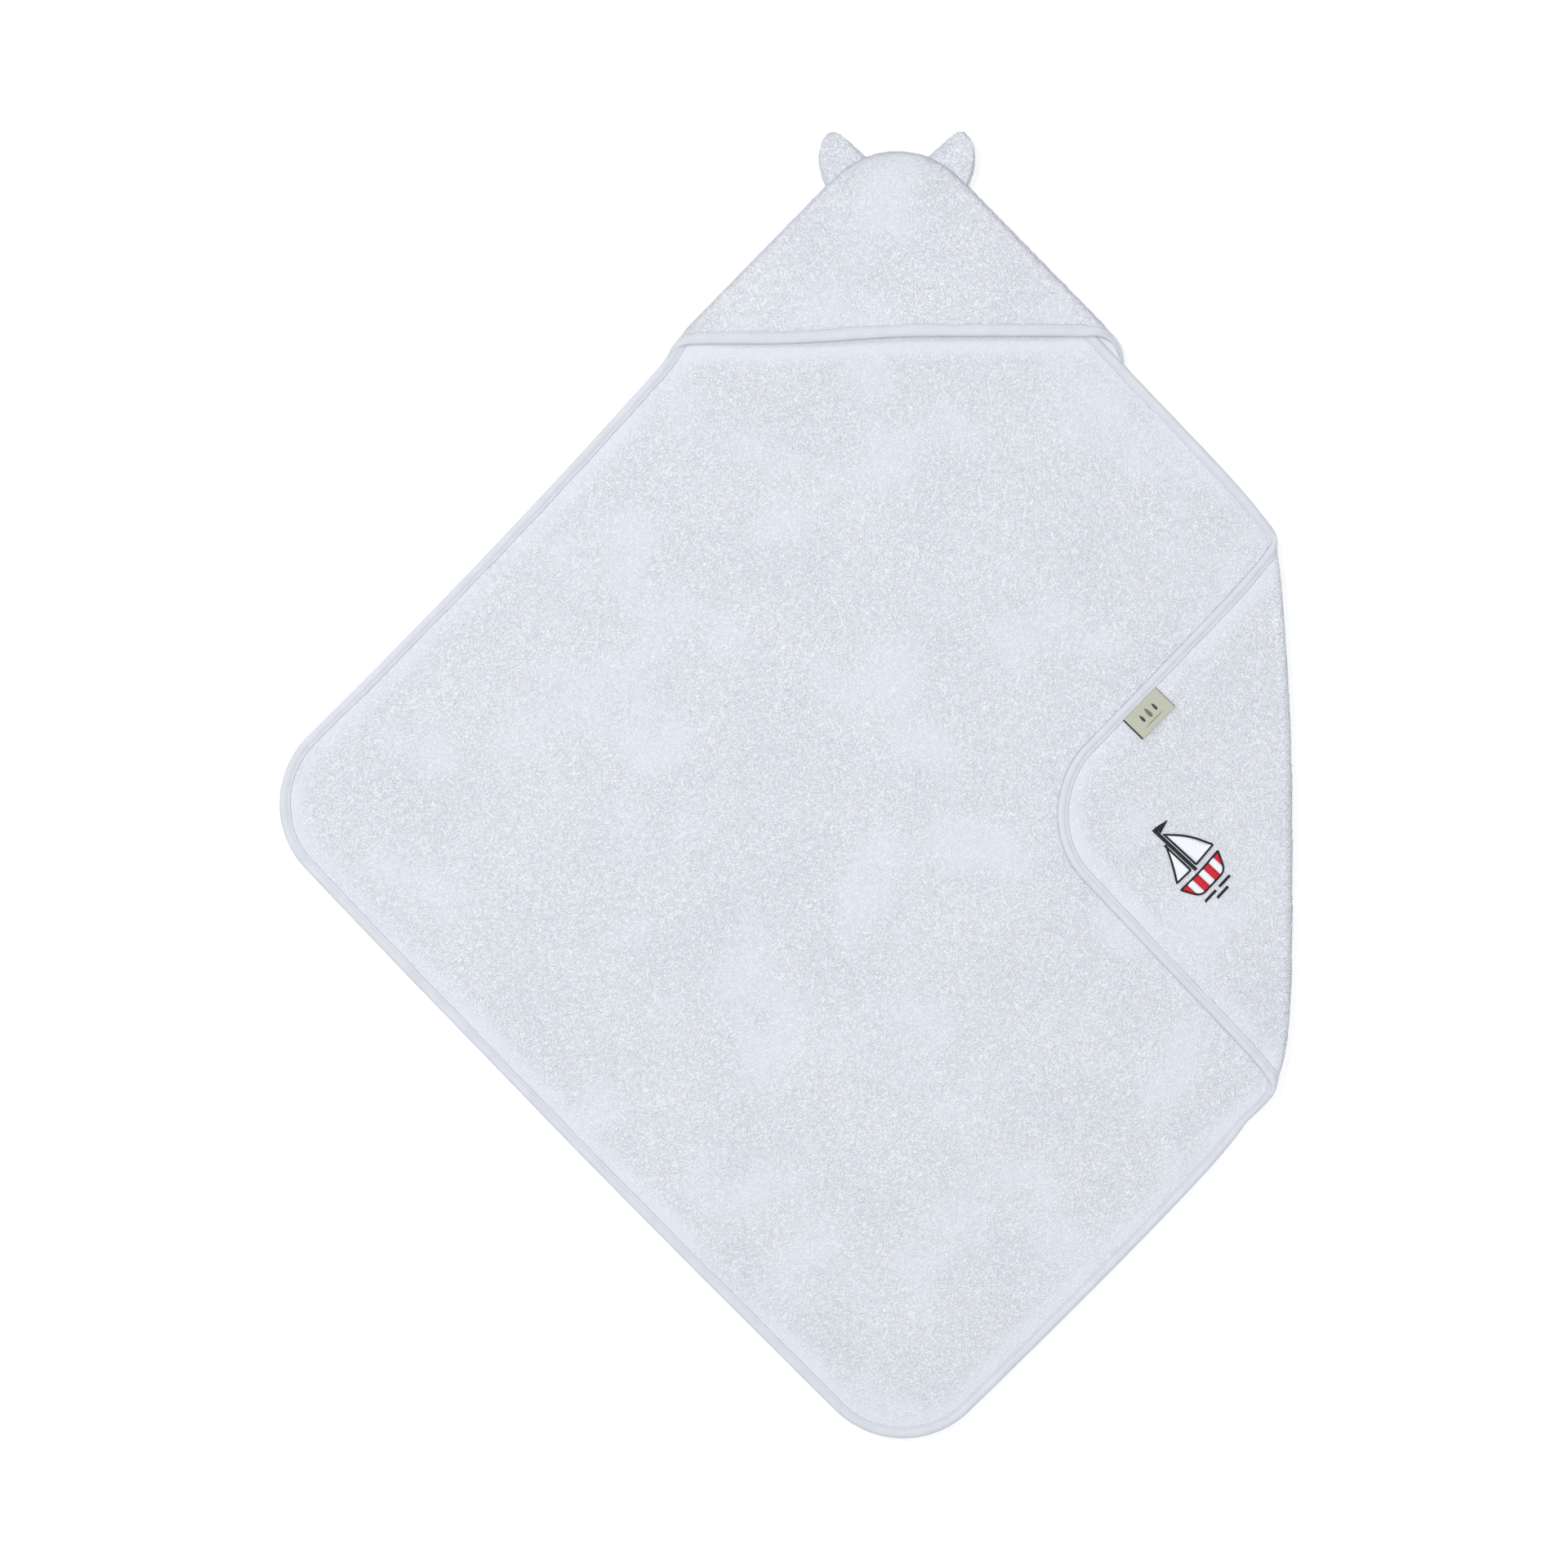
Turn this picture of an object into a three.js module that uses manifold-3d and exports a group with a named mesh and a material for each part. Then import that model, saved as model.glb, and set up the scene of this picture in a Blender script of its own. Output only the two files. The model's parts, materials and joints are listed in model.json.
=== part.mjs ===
// A hooded baby towel, lying flat and front up, with its right-hand corner folded over.
// Millimetres. +X right, +Y towards the hood, +Z up. The origin is the middle of the towel, on its underside.
import * as THREE from "three";
import { mergeVertices } from "three/addons/utils/BufferGeometryUtils.js";
import Module from "manifold-3d";

const wasm = await Module();
wasm.setup();

// Cloth
const CLOTH = 3.2; // terry with its loops, and a bound edge
const TAPE = 0.6; // one folded wall of the binding tape
const GAP = 0.3; // clearance between neighbouring pieces
const BINDING = 8.5; // visible width of the binding
const LIP = TAPE + GAP; // how far the terry stays inside its binding

// The towel: a 750 mm square laid on its corner, each corner where it comes to rest
const TOP_CORNER = [-8, 536];
const LEFT_CORNER = [-529, 2];
const BOTTOM_CORNER = [0, -537];
const RIGHT_CORNER = [522, -7];
const CORNER_RADIUS = 74;
const UPPER_LEFT_BOW = -4.5; // how far each side bows outwards as it lies
const LOWER_LEFT_BOW = 4;
const LOWER_RIGHT_BOW = 8;

// The folded corner
const FOLD_X = 307.4; // crest of the fold, and its axis
const FOLD_TOP_X = 294; // the fold's two ends draw in a little
const FOLD_BOTTOM_X = 297;
const FOLD_BOW = 11.8;
const FLAP_LIFT = 1; // between the towel's face and the flap
const FLAP_Z = CLOTH + FLAP_LIFT;
const FLAP_TOP = FLAP_Z + CLOTH;
const FOLD_Z = FLAP_TOP / 2;
const FOLD_ROOM = 4; // from the fold's axis to the flap's own edge

// The hood
const NECK_Y = 350; // where the hood folds against the towel
const NECK_Z = 7.6;
const NECK_LEFT_X = -193;
const NECK_RIGHT_X = 177;
const HOOD_PEAK = [-5.2, 550.6]; // where its two sides would meet
const HOOD_PEAK_RADIUS = 71;
const HOOD_SIDE_SLOPE = 0.978; // sideways for each millimetre down
const HOOD_SHOULDER_Y = 375.5;
const OPENING_Y = 366; // lower edge of the opening on the left
const OPENING_RISE = 6; // how much higher it lies on the right
const POCKET = 5; // height of the hood's hollow
const CROWN_REACH = 30; // from a side seam to the full height

// Ears
const EAR_X = 40.2; // from the hood's middle to the middle of an ear's base
const EAR_Y = 505.6;
const EAR_TURN = THREE.MathUtils.degToRad(40.5);

// Label and embroidery on the flap
const LABEL_WIDTH = 37;
const LABEL_LENGTH = 21.3;
const LABEL_FROM_TIP = 109.5; // along the flap's upper edge, from its sharp tip
const LABEL_PLY = 0.45;
const LABEL_THICKNESS = 1.4;
const MOTIF_AT = [228, -46.4];
const MOTIF_TURN = THREE.MathUtils.degToRad(47);
const MOTIF_SCALE = 1.25; // of the drawing below
const STITCHING = 0.6; // thickness of the embroidery
const BACKING = 0.3; // and of the stabiliser behind it
const OUTLINE = 1.7; // width of its black outline

const terry = new THREE.MeshStandardMaterial({ color: 0xe4e8ee, roughness: 0.95, metalness: 0 });
const tape = new THREE.MeshStandardMaterial({ color: 0xe9edf2, roughness: 0.75, metalness: 0 });
const whiteThread = new THREE.MeshStandardMaterial({ color: 0xf2f4f6, roughness: 0.4, metalness: 0 });
const blackThread = new THREE.MeshStandardMaterial({ color: 0x15161a, roughness: 0.4, metalness: 0 });
const redThread = new THREE.MeshStandardMaterial({ color: 0xc4182b, roughness: 0.4, metalness: 0 });
const ribbon = new THREE.MeshStandardMaterial({ color: 0xb9b8a2, roughness: 0.6, metalness: 0 });
const fleece = new THREE.MeshStandardMaterial({ color: 0xf4f4f2, roughness: 0.9, metalness: 0 });

// ---------------------------------------------------------------- solids

function solidOf(geometry) {
  const bare = geometry.index ? geometry.toNonIndexed() : geometry.clone();
  bare.deleteAttribute("normal");
  bare.deleteAttribute("uv");
  const merged = mergeVertices(bare, 1e-4);
  return new wasm.Manifold(
    new wasm.Mesh({
      numProp: 3,
      vertProperties: merged.attributes.position.array,
      triVerts: new Uint32Array(merged.index.array),
    }),
  );
}

function geometryOf(solid) {
  const mesh = solid.getMesh();
  const geometry = new THREE.BufferGeometry();
  geometry.setAttribute("position", new THREE.BufferAttribute(mesh.vertProperties, 3));
  geometry.setIndex(new THREE.BufferAttribute(mesh.triVerts, 1));
  return geometry.toNonIndexed();
}

// An upright slab over an outline, from one height to another.
function slab(points, low, high) {
  const shape = new THREE.Shape(points.map(([x, y]) => new THREE.Vector2(x, y)));
  const geometry = new THREE.ExtrudeGeometry(shape, { depth: high - low, bevelEnabled: false });
  return solidOf(geometry.translate(0, 0, low));
}

// A solid drawn along a path: rings[i][j] is where point i of its section comes at station j of the path.
function loft(rings) {
  const count = rings.length;
  const last = rings[0].length - 1;
  const triangles = [];
  for (let j = 0; j < last; j++) {
    for (let i = 0; i < count; i++) {
      const k = (i + 1) % count;
      triangles.push([rings[i][j], rings[i][j + 1], rings[k][j + 1]]);
      triangles.push([rings[i][j], rings[k][j + 1], rings[k][j]]);
    }
  }
  for (const j of [0, last]) {
    const section = rings.map((ring) => new THREE.Vector3(...ring[j]));
    const across = section[Math.floor(count / 2)].clone().sub(section[0]).setZ(0).normalize();
    const flat = section.map((p) => new THREE.Vector2(p.dot(across), p.z));
    const against = THREE.ShapeUtils.isClockWise(flat) === (j === 0);
    for (const [a, b, c] of THREE.ShapeUtils.triangulateShape(flat, [])) {
      const face = [rings[a][j], rings[b][j], rings[c][j]];
      triangles.push(against ? face.reverse() : face);
    }
  }
  const solid = () => solidOf(new THREE.BufferGeometry().setAttribute(
    "position", new THREE.Float32BufferAttribute(triangles.flat(2), 3)));
  const made = solid();
  if (made.volume() > 0) return made;
  triangles.forEach((face) => face.reverse());
  return solid();
}

// ---------------------------------------------------------------- outlines

const meet = ([px, py], [dx, dy], [qx, qy], [ex, ey]) => {
  const along = ((qx - px) * ey - (qy - py) * ex) / (dx * ey - dy * ex);
  return [px + dx * along, py + dy * along];
};

// A convex outline, walked anticlockwise. Side i runs from corner i to the next one. A bound side moves
// inwards by the inset and any other side outwards by the spill; a side can bow outwards; a corner can be round.
function outline(corners, inset = 0, spill = 0) {
  const count = corners.length;
  const sides = corners.map((corner, i) => {
    const [ax, ay] = corner.at;
    const [bx, by] = corners[(i + 1) % count].at;
    const length = Math.hypot(bx - ax, by - ay);
    const along = [(bx - ax) / length, (by - ay) / length];
    const inward = [-along[1], along[0]];
    const shift = corner.bound ? inset : (corner.trim ?? 0) - spill;
    return { from: [ax + inward[0] * shift, ay + inward[1] * shift], along, inward, shift, bow: corner.bow ?? 0 };
  });
  const turns = corners.map((corner, i) => {
    const before = sides[(i + count - 1) % count];
    const after = sides[i];
    const at = meet(before.from, before.along, after.from, after.along);
    const radius = corner.round ? Math.max(corner.round - after.shift, 0.5) : 0;
    const angle = Math.acos(before.along[0] * after.along[0] + before.along[1] * after.along[1]);
    const cut = radius * Math.tan(angle / 2);
    const start = [at[0] - before.along[0] * cut, at[1] - before.along[1] * cut];
    const end = [at[0] + after.along[0] * cut, at[1] + after.along[1] * cut];
    const centre = [start[0] + before.inward[0] * radius, start[1] + before.inward[1] * radius];
    return { start, end, centre, radius, angle, first: Math.atan2(start[1] - centre[1], start[0] - centre[0]) };
  });
  const points = [];
  turns.forEach((turn, i) => {
    points.push(turn.start);
    const steps = turn.radius ? Math.max(3, Math.ceil(turn.angle / 0.13)) : 0;
    for (let k = 1; k < steps; k++) {
      const a = turn.first + (turn.angle * k) / steps;
      points.push([turn.centre[0] + turn.radius * Math.cos(a), turn.centre[1] + turn.radius * Math.sin(a)]);
    }
    if (steps) points.push(turn.end);
    const { bow, inward } = sides[i];
    const [bx, by] = turns[(i + 1) % count].start;
    for (let k = 1; bow && k < 12; k++) {
      const t = k / 12;
      const out = -4 * bow * t * (1 - t);
      points.push([
        turn.end[0] + (bx - turn.end[0]) * t + inward[0] * out,
        turn.end[1] + (by - turn.end[1]) * t + inward[1] * out,
      ]);
    }
  });
  return points;
}

// The terry sheet inside an outline, thinned where the binding closes over its bound sides.
function boundSheet(corners, z) {
  const full = slab(outline(corners, BINDING + GAP), z, z + CLOTH);
  const lip = slab(outline(corners, LIP), z + LIP, z + CLOTH - LIP);
  return full.add(lip);
}

// The folded tape round the bound sides of an outline, one solid for each unbroken run of them.
function bindings(corners, z) {
  return slab(outline(corners), z, z + CLOTH)
    .subtract(slab(outline(corners, BINDING, 1), z - 1, z + CLOTH + 1))
    .subtract(slab(outline(corners, TAPE, 1), z + TAPE, z + CLOTH - TAPE))
    .decompose()
    .sort((a, b) => a.boundingBox().min[0] - b.boundingBox().min[0]);
}

// ---------------------------------------------------------------- towel

// Where a side of the towel passes a given x.
function onSide(from, to, x) {
  return [x, from[1] + ((to[1] - from[1]) * (x - from[0])) / (to[0] - from[0])];
}

const acrossFold = ([x, y]) => [2 * FOLD_X - x, y];
const foldTop = onSide(TOP_CORNER, RIGHT_CORNER, FOLD_TOP_X);
const foldBottom = onSide(BOTTOM_CORNER, RIGHT_CORNER, FOLD_BOTTOM_X);

const towelCorners = [
  { at: [NECK_LEFT_X, NECK_Y - GAP], bound: true, bow: UPPER_LEFT_BOW },
  { at: LEFT_CORNER, round: CORNER_RADIUS, bound: true, bow: LOWER_LEFT_BOW },
  { at: BOTTOM_CORNER, round: CORNER_RADIUS, bound: true, bow: LOWER_RIGHT_BOW },
  { at: foldBottom, bow: FOLD_BOW, trim: GAP },
  { at: foldTop, bound: true },
  { at: [NECK_RIGHT_X, NECK_Y - GAP] },
];

// A half-round roll along part of the fold, from one share of its length to another.
function foldRoll(from, to) {
  const steps = Math.max(2, Math.ceil((to - from) * 20));
  const [ax, ay] = foldBottom;
  const [bx, by] = foldTop;
  const length = Math.hypot(bx - ax, by - ay);
  const outward = [(by - ay) / length, -(bx - ax) / length];
  const section = [];
  for (let k = 0; k <= 8; k++) {
    const a = -Math.PI / 2 + (Math.PI * k) / 8;
    section.push([FOLD_Z * Math.cos(a), FOLD_Z + FOLD_Z * Math.sin(a)]);
  }
  return loft(section.map(([out, z]) => Array.from({ length: steps + 1 }, (_, j) => {
    const t = from + ((to - from) * j) / steps;
    const reach = out + 4 * FOLD_BOW * t * (1 - t);
    return [ax + (bx - ax) * t + outward[0] * reach, ay + (by - ay) * t + outward[1] * reach, z];
  })));
}

const flapTip = acrossFold(RIGHT_CORNER);
const flapTop = onSide(flapTip, acrossFold(TOP_CORNER), FOLD_TOP_X);
const flapBottom = onSide(flapTip, acrossFold(BOTTOM_CORNER), FOLD_BOTTOM_X);

const flapCorners = [
  { at: flapBottom, bow: FOLD_BOW, trim: FOLD_ROOM },
  { at: flapTop, bound: true },
  { at: flapTip, round: CORNER_RADIUS, bound: true },
];

// ---------------------------------------------------------------- hood

const hoodSide = (y) => HOOD_SIDE_SLOPE * (HOOD_PEAK[1] - y);
const hoodPeak = { at: HOOD_PEAK, round: HOOD_PEAK_RADIUS };

const hoodRight = [HOOD_PEAK[0] + hoodSide(HOOD_SHOULDER_Y), HOOD_SHOULDER_Y];
const hoodLeft = [HOOD_PEAK[0] - hoodSide(HOOD_SHOULDER_Y), HOOD_SHOULDER_Y];

// The back panel: a short strip above the neck, still bound, and the rest, which the hood's seam closes.
const neckCorners = [
  { at: [NECK_LEFT_X, NECK_Y + GAP] },
  { at: [NECK_RIGHT_X, NECK_Y + GAP], bound: true },
  { at: hoodRight },
  { at: hoodLeft, bound: true },
];
const hoodBackCorners = [{ at: hoodLeft }, { at: hoodRight }, hoodPeak];

const FRONT_FOOT_Y = OPENING_Y - 6; // below the opening, so that the opening can be cut from it
const hoodFrontCorners = [
  { at: [HOOD_PEAK[0] - hoodSide(FRONT_FOOT_Y), FRONT_FOOT_Y] },
  { at: [HOOD_PEAK[0] + hoodSide(FRONT_FOOT_Y), FRONT_FOOT_Y], bound: true },
  { ...hoodPeak, bound: true },
];

// The front panel's section, from its side seam inwards: it rises steeply off the back panel, then
// gently to the height of the hollow. Drawn in by the same amount all round.
function frontSection(draw) {
  const seam = CLOTH + GAP;
  const under = [[0, 0], [3.6, 0], [5, 2.8], [14, 3.9], [CROWN_REACH, POCKET]];
  const over = [[CROWN_REACH, POCKET], [14, 4], [5, 3.1], [1.4, 1], [0, -1]];
  return [
    ...under.map(([u, rise]) => [Math.max(u, draw), seam + rise + draw]),
    ...over.map(([u, rise]) => [Math.max(u, draw), seam + CLOTH + rise - draw]),
  ];
}

function frontShell(draw) {
  const rings = frontSection(draw).map(([u, z]) =>
    outline(hoodFrontCorners, u).map(([x, y]) => [x, y, z]),
  );
  // The outline's first point is the left foot: the run of the side seams starts at the right foot.
  const seamRun = rings.map((ring) => [...ring.slice(1), ring[0]]);
  const low = CLOTH + GAP + POCKET + draw;
  const middle = slab(outline(hoodFrontCorners, CROWN_REACH - 0.05), low, low + CLOTH - 2 * draw);
  return loft(seamRun).add(middle);
}

// Everything behind the opening's edge, moved back by some distance.
function behindOpening(back) {
  const edge = [];
  for (let x = -230; x <= 220; x += 15) {
    const rise = THREE.MathUtils.smoothstep(x, -110, 20);
    edge.push([x, OPENING_Y + OPENING_RISE * rise + back]);
  }
  return slab([...edge, [220, 620], [-230, 620]], -1, 20);
}

// ---------------------------------------------------------------- ears

// One layer of an ear, sewn along the hood's rounded top. side is -1 on the left and 1 on the right.
function earLayer(side, low) {
  const shape = new THREE.Shape();
  shape.moveTo(-21.5, -4);
  shape.bezierCurveTo(-20, 14, -6, 31.5, 8, 31.6);
  shape.bezierCurveTo(15, 31.6, 15.5, 20, 18.6, -4);
  const placed = shape.getPoints(9).map((p) => {
    const spot = new THREE.Vector2(-side * p.x, p.y).rotateAround(new THREE.Vector2(), -side * EAR_TURN);
    return [HOOD_PEAK[0] + side * EAR_X + spot.x, EAR_Y + spot.y];
  });
  const round = side < 0 ? placed.reverse() : placed;
  const hood = slab(outline(hoodFrontCorners, -0.4), -1, 8);
  return slab(round, low, low + CLOTH).subtract(hood);
}

// ---------------------------------------------------------------- label

// A ribbon folded in half: two plies joined at the fold, open where it is sewn in.
function label() {
  const r = LABEL_THICKNESS / 2;
  const bend = LABEL_LENGTH - r;
  const section = new THREE.Shape();
  section.moveTo(0, 0);
  section.lineTo(bend, 0);
  section.absarc(bend, r, r, -Math.PI / 2, Math.PI / 2, false);
  section.lineTo(0, LABEL_THICKNESS);
  section.lineTo(0, LABEL_THICKNESS - LABEL_PLY);
  section.lineTo(bend, LABEL_THICKNESS - LABEL_PLY);
  section.absarc(bend, r, r - LABEL_PLY, Math.PI / 2, -Math.PI / 2, true);
  section.lineTo(0, LABEL_PLY);
  section.lineTo(0, 0);
  return new THREE.ExtrudeGeometry(section, { depth: LABEL_WIDTH, bevelEnabled: false, curveSegments: 6 });
}

// The label's place: its long side runs along the flap's upper binding, its width points into the flap.
function labelPlace() {
  const edge = new THREE.Vector3(flapTop[0] - flapTip[0], flapTop[1] - flapTip[1], 0).normalize();
  const inward = new THREE.Vector3(edge.y, -edge.x, 0);
  const up = new THREE.Vector3(0, 0, 1);
  // Extruding runs along the third axis, back towards the tip, so it starts at the label's far end.
  const farEnd = new THREE.Vector3(flapTip[0], flapTip[1], FLAP_TOP + GAP)
    .addScaledVector(edge, LABEL_FROM_TIP + LABEL_WIDTH)
    .addScaledVector(inward, BINDING + GAP);
  return new THREE.Matrix4().makeBasis(inward, up, edge.negate()).setPosition(farEnd);
}

// ---------------------------------------------------------------- embroidery

const hull = [
  { at: [-11.5, -21], round: 4.5, bound: true },
  { at: [11.5, -21], round: 4.5, bound: true },
  { at: [18.5, -7.5], round: 2.5, bound: true, bow: -1.2 },
  { at: [-18.5, -7.5], round: 2.5, bound: true },
];
const mainSail = [
  { at: [0.6, -5], round: 2.2, bound: true },
  { at: [19, -4], round: 2.2, bound: true, bow: 3 },
  { at: [0.6, 25.5], round: 2.2, bound: true },
];
const jib = [
  { at: [-17, -4], round: 2.2, bound: true },
  { at: [-2.8, -5], round: 2.2, bound: true },
  { at: [-2.8, 20], round: 2.2, bound: true, bow: -0.8 },
];

const stitched = (points) => slab(points, 0, STITCHING);

// A closed line of stitches along a shape's edge, and the shape's filling inside it.
const edgeLine = (corners) =>
  stitched(outline(corners)).subtract(slab(outline(corners, OUTLINE), -1, STITCHING + 1));
const filling = (corners) => stitched(outline(corners, OUTLINE + GAP));

function motif() {
  const group = new THREE.Group();
  group.position.set(MOTIF_AT[0], MOTIF_AT[1], FLAP_TOP + GAP);
  group.rotation.z = MOTIF_TURN;
  group.scale.set(MOTIF_SCALE, MOTIF_SCALE, 1);
  const add = (name, solid, material) => {
    const mesh = new THREE.Mesh(geometryOf(solid), material);
    mesh.name = name;
    group.add(mesh);
  };
  add("motif_main_sail_edge", edgeLine(mainSail), blackThread);
  add("motif_main_sail_fill", filling(mainSail), whiteThread);
  add("motif_jib_edge", edgeLine(jib), blackThread);
  add("motif_jib_fill", filling(jib), whiteThread);
  add("motif_hull_edge", edgeLine(hull), blackThread);
  const stripes = 7;
  const hullHalf = 17;
  const pitch = (2 * hullHalf) / stripes;
  for (let i = 0; i < stripes; i++) {
    const left = -hullHalf + i * pitch + GAP / 2;
    const right = left + pitch - GAP;
    const band = stitched([[left, -30], [right, -30], [right, 0], [left, 0]]);
    const colour = i % 2 ? "white" : "red";
    const name = "motif_hull_" + colour + "_" + (Math.floor(i / 2) + 1);
    add(name, filling(hull).intersect(band), i % 2 ? whiteThread : redThread);
  }
  add("motif_mast", stitched([[-2.3, -6.6], [0.1, -6.6], [0.1, 31], [-2.3, 31]]), blackThread);
  add("motif_pennant", stitched([[0.4, 25.9], [10, 28.4], [0.4, 31]]), blackThread);
  [[-12, -25.5], [1, -25.5], [-5, -29.5]].forEach(([x, y], i) => {
    const dash = [[x, y], [x + 10, y], [x + 10, y + 1.8], [x, y + 1.8]];
    add("motif_wave_" + (i + 1), stitched(dash), blackThread);
  });
  return group;
}

// The stabiliser behind the embroidery, trimmed a little wider than the motif.
function backing() {
  const corners = [[-24, -34], [24, -34], [24, 34], [-24, 34]].map((at) => ({ at, round: 12 }));
  const group = new THREE.Group();
  group.position.set(MOTIF_AT[0], MOTIF_AT[1], FLAP_Z - GAP - BACKING);
  group.rotation.z = MOTIF_TURN;
  group.scale.set(MOTIF_SCALE, MOTIF_SCALE, 1);
  const mesh = new THREE.Mesh(geometryOf(slab(outline(corners), 0, BACKING)), fleece);
  mesh.name = "embroidery_backing";
  group.add(mesh);
  return group;
}

// ---------------------------------------------------------------- assembly

const towel = new THREE.Group();
function part(name, solid, material) {
  const mesh = new THREE.Mesh(geometryOf(solid), material);
  mesh.name = name;
  towel.add(mesh);
}

part("main_panel", boundSheet(towelCorners, 0), terry);
const [leftBinding, rightBinding] = bindings(towelCorners, 0);
part("edge_binding_left", leftBinding, tape);
part("edge_binding_right", rightBinding, tape);

part("fold_roll", foldRoll(0.067, 0.953), terry);
part("fold_binding_lower", foldRoll(0.012, 0.066), tape);
part("fold_binding_upper", foldRoll(0.954, 0.99), tape);

part("flap_panel", boundSheet(flapCorners, FLAP_Z), terry);
part("flap_binding", bindings(flapCorners, FLAP_Z)[0], tape);

const hoodBack = slab(outline(hoodBackCorners), 0, CLOTH);
part("hood_back_panel", boundSheet(neckCorners, 0).add(hoodBack), terry);
const [neckLeft, neckRight] = bindings(neckCorners, 0);
part("neck_binding_left", neckLeft, tape);
part("neck_binding_right", neckRight, tape);

const shell = frontShell(0);
const frontBody = shell.intersect(behindOpening(BINDING + GAP));
const frontLip = frontShell(LIP).intersect(behindOpening(LIP));
part("hood_front_panel", frontBody.add(frontLip), terry);
const openingTape = shell
  .intersect(behindOpening(0))
  .subtract(behindOpening(BINDING))
  .subtract(frontShell(TAPE).intersect(behindOpening(TAPE)));
part("hood_opening_binding", openingTape, tape);

const seamTape = slab(outline(hoodFrontCorners, 5.3), CLOTH + GAP, CLOTH + GAP + 2.2)
  .subtract(slab(outline(hoodFrontCorners, 5.3 + BINDING, 10), 0, 20))
  .intersect(behindOpening(12));
part("hood_seam_binding", seamTape, tape);

for (const [side, name] of [[-1, "left"], [1, "right"]]) {
  part(name + "_ear_back", earLayer(side, 0), terry);
  part(name + "_ear_front", earLayer(side, CLOTH + GAP), terry);
}

const sideLabel = new THREE.Mesh(label(), ribbon);
sideLabel.name = "side_label";
sideLabel.applyMatrix4(labelPlace());
towel.add(sideLabel);
towel.add(motif(), backing());

export default towel;
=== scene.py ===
"""A hooded baby towel, laid flat and front up, with its right-hand corner folded over."""
import json
import math

import bpy
import numpy as np
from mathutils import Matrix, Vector


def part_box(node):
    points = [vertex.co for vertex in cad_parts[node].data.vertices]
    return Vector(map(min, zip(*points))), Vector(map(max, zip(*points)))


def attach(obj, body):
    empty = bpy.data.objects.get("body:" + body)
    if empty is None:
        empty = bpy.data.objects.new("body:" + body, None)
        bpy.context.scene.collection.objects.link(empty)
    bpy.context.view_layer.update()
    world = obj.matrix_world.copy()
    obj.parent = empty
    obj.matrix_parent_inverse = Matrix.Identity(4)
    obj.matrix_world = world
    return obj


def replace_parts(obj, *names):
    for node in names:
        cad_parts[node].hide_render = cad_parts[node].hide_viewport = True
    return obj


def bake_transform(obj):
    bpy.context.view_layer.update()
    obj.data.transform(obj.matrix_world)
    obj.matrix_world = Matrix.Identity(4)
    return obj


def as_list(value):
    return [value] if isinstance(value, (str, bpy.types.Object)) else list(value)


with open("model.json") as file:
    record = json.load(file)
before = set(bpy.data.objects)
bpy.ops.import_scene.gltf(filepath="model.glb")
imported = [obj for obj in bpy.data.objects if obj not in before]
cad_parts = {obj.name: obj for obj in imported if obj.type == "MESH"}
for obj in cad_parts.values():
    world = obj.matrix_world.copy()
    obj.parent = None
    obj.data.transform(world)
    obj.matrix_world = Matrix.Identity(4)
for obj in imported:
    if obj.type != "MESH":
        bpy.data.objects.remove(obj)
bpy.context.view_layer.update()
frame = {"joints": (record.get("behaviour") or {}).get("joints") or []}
JOINTS = {joint["name"]: joint for joint in frame["joints"]}

MM = 0.001

# ------------ sizes, in metres, as in the frame
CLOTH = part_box("main_panel")[1].z  # terry with its loops
FOLD_X, FOLD_Z = JOINTS["corner_unfold"]["pos_m"][::2]
BINDING = 8.5 * MM
BOUND_IN = 0.9 * MM  # the terry stops this far inside its binding's outer edge

# The towel's square, each corner where it lies, with the hood's peak in place of the top corner
LEFT, BOTTOM, RIGHT, PEAK = np.array([(-529, 2), (0, -537), (522, -7), (-5.2, 550.6)]) * MM
NECK_LEFT, NECK_RIGHT = np.array([(-193, 350), (177, 350)]) * MM
SHOULDER_LEFT, SHOULDER_RIGHT = np.array([(-176.4, 375.5), (166, 375.5)]) * MM
SIDE = 750 * MM
CORNER_RADIUS = 74 * MM
PEAK_RADIUS = 71 * MM

# The fold
FOLD_MIDDLE_Y = -14 * MM
FOLD_HALF = 222 * MM
LEAST_PULL = 0.8 * MM  # how far the fold draws in at its middle
UPPER_PULL, UPPER_CURVE = 12.5 * MM, 1.85  # how much further its ends draw in, and how suddenly
LOWER_PULL, LOWER_CURVE = 16.5 * MM, 5.5
FOLD_TURN, TURN_PER_PULL = 5 * MM, 0.7  # cloth taken up by each half of the turn, and more where it draws in
FOLD_ROUND = 13 * MM  # radius of the binding's inner line where it turns round with the fold
SPLIT = 30 * MM  # the corner's own cloth starts this far before the fold
# By the fold the cloth stays this far below the crease before it, and above the crease after it: on its
# inner face, and how much more on its outer one.
FOLD_APART = 0.3 * MM
FOLD_APART_OUTSIDE = 0.8 * MM
FLAP_X, FLAP_Y = 96 * MM, -8 * MM  # where the folded corner's rounded end lies

# The hood
MOUTH_LEFT_Y = 366 * MM
MOUTH_RISE = 6 * MM
MOUTH_SAG = 2.2 * MM  # how much lower the front lies at its opening
HOOD_FROM = 14 * MM  # this far above the opening, the towel's edge has changed to the hood's seam

LATTICE = 128  # cells of noise before it repeats
DENSE, SMOOTH = 900, 12  # points of each line of the outline, and how many on each side smooth its bends


# ------------ arrays, easing and noise
def stack(*coordinates):
    """Points from their coordinates, each of them an array or one number."""
    return np.stack(np.broadcast_arrays(*coordinates), -1)


def rotate(x, y, angle):
    """The point turned anticlockwise about the origin."""
    c, s = math.cos(angle), math.sin(angle)
    return c * x - s * y, s * x + c * y


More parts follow.
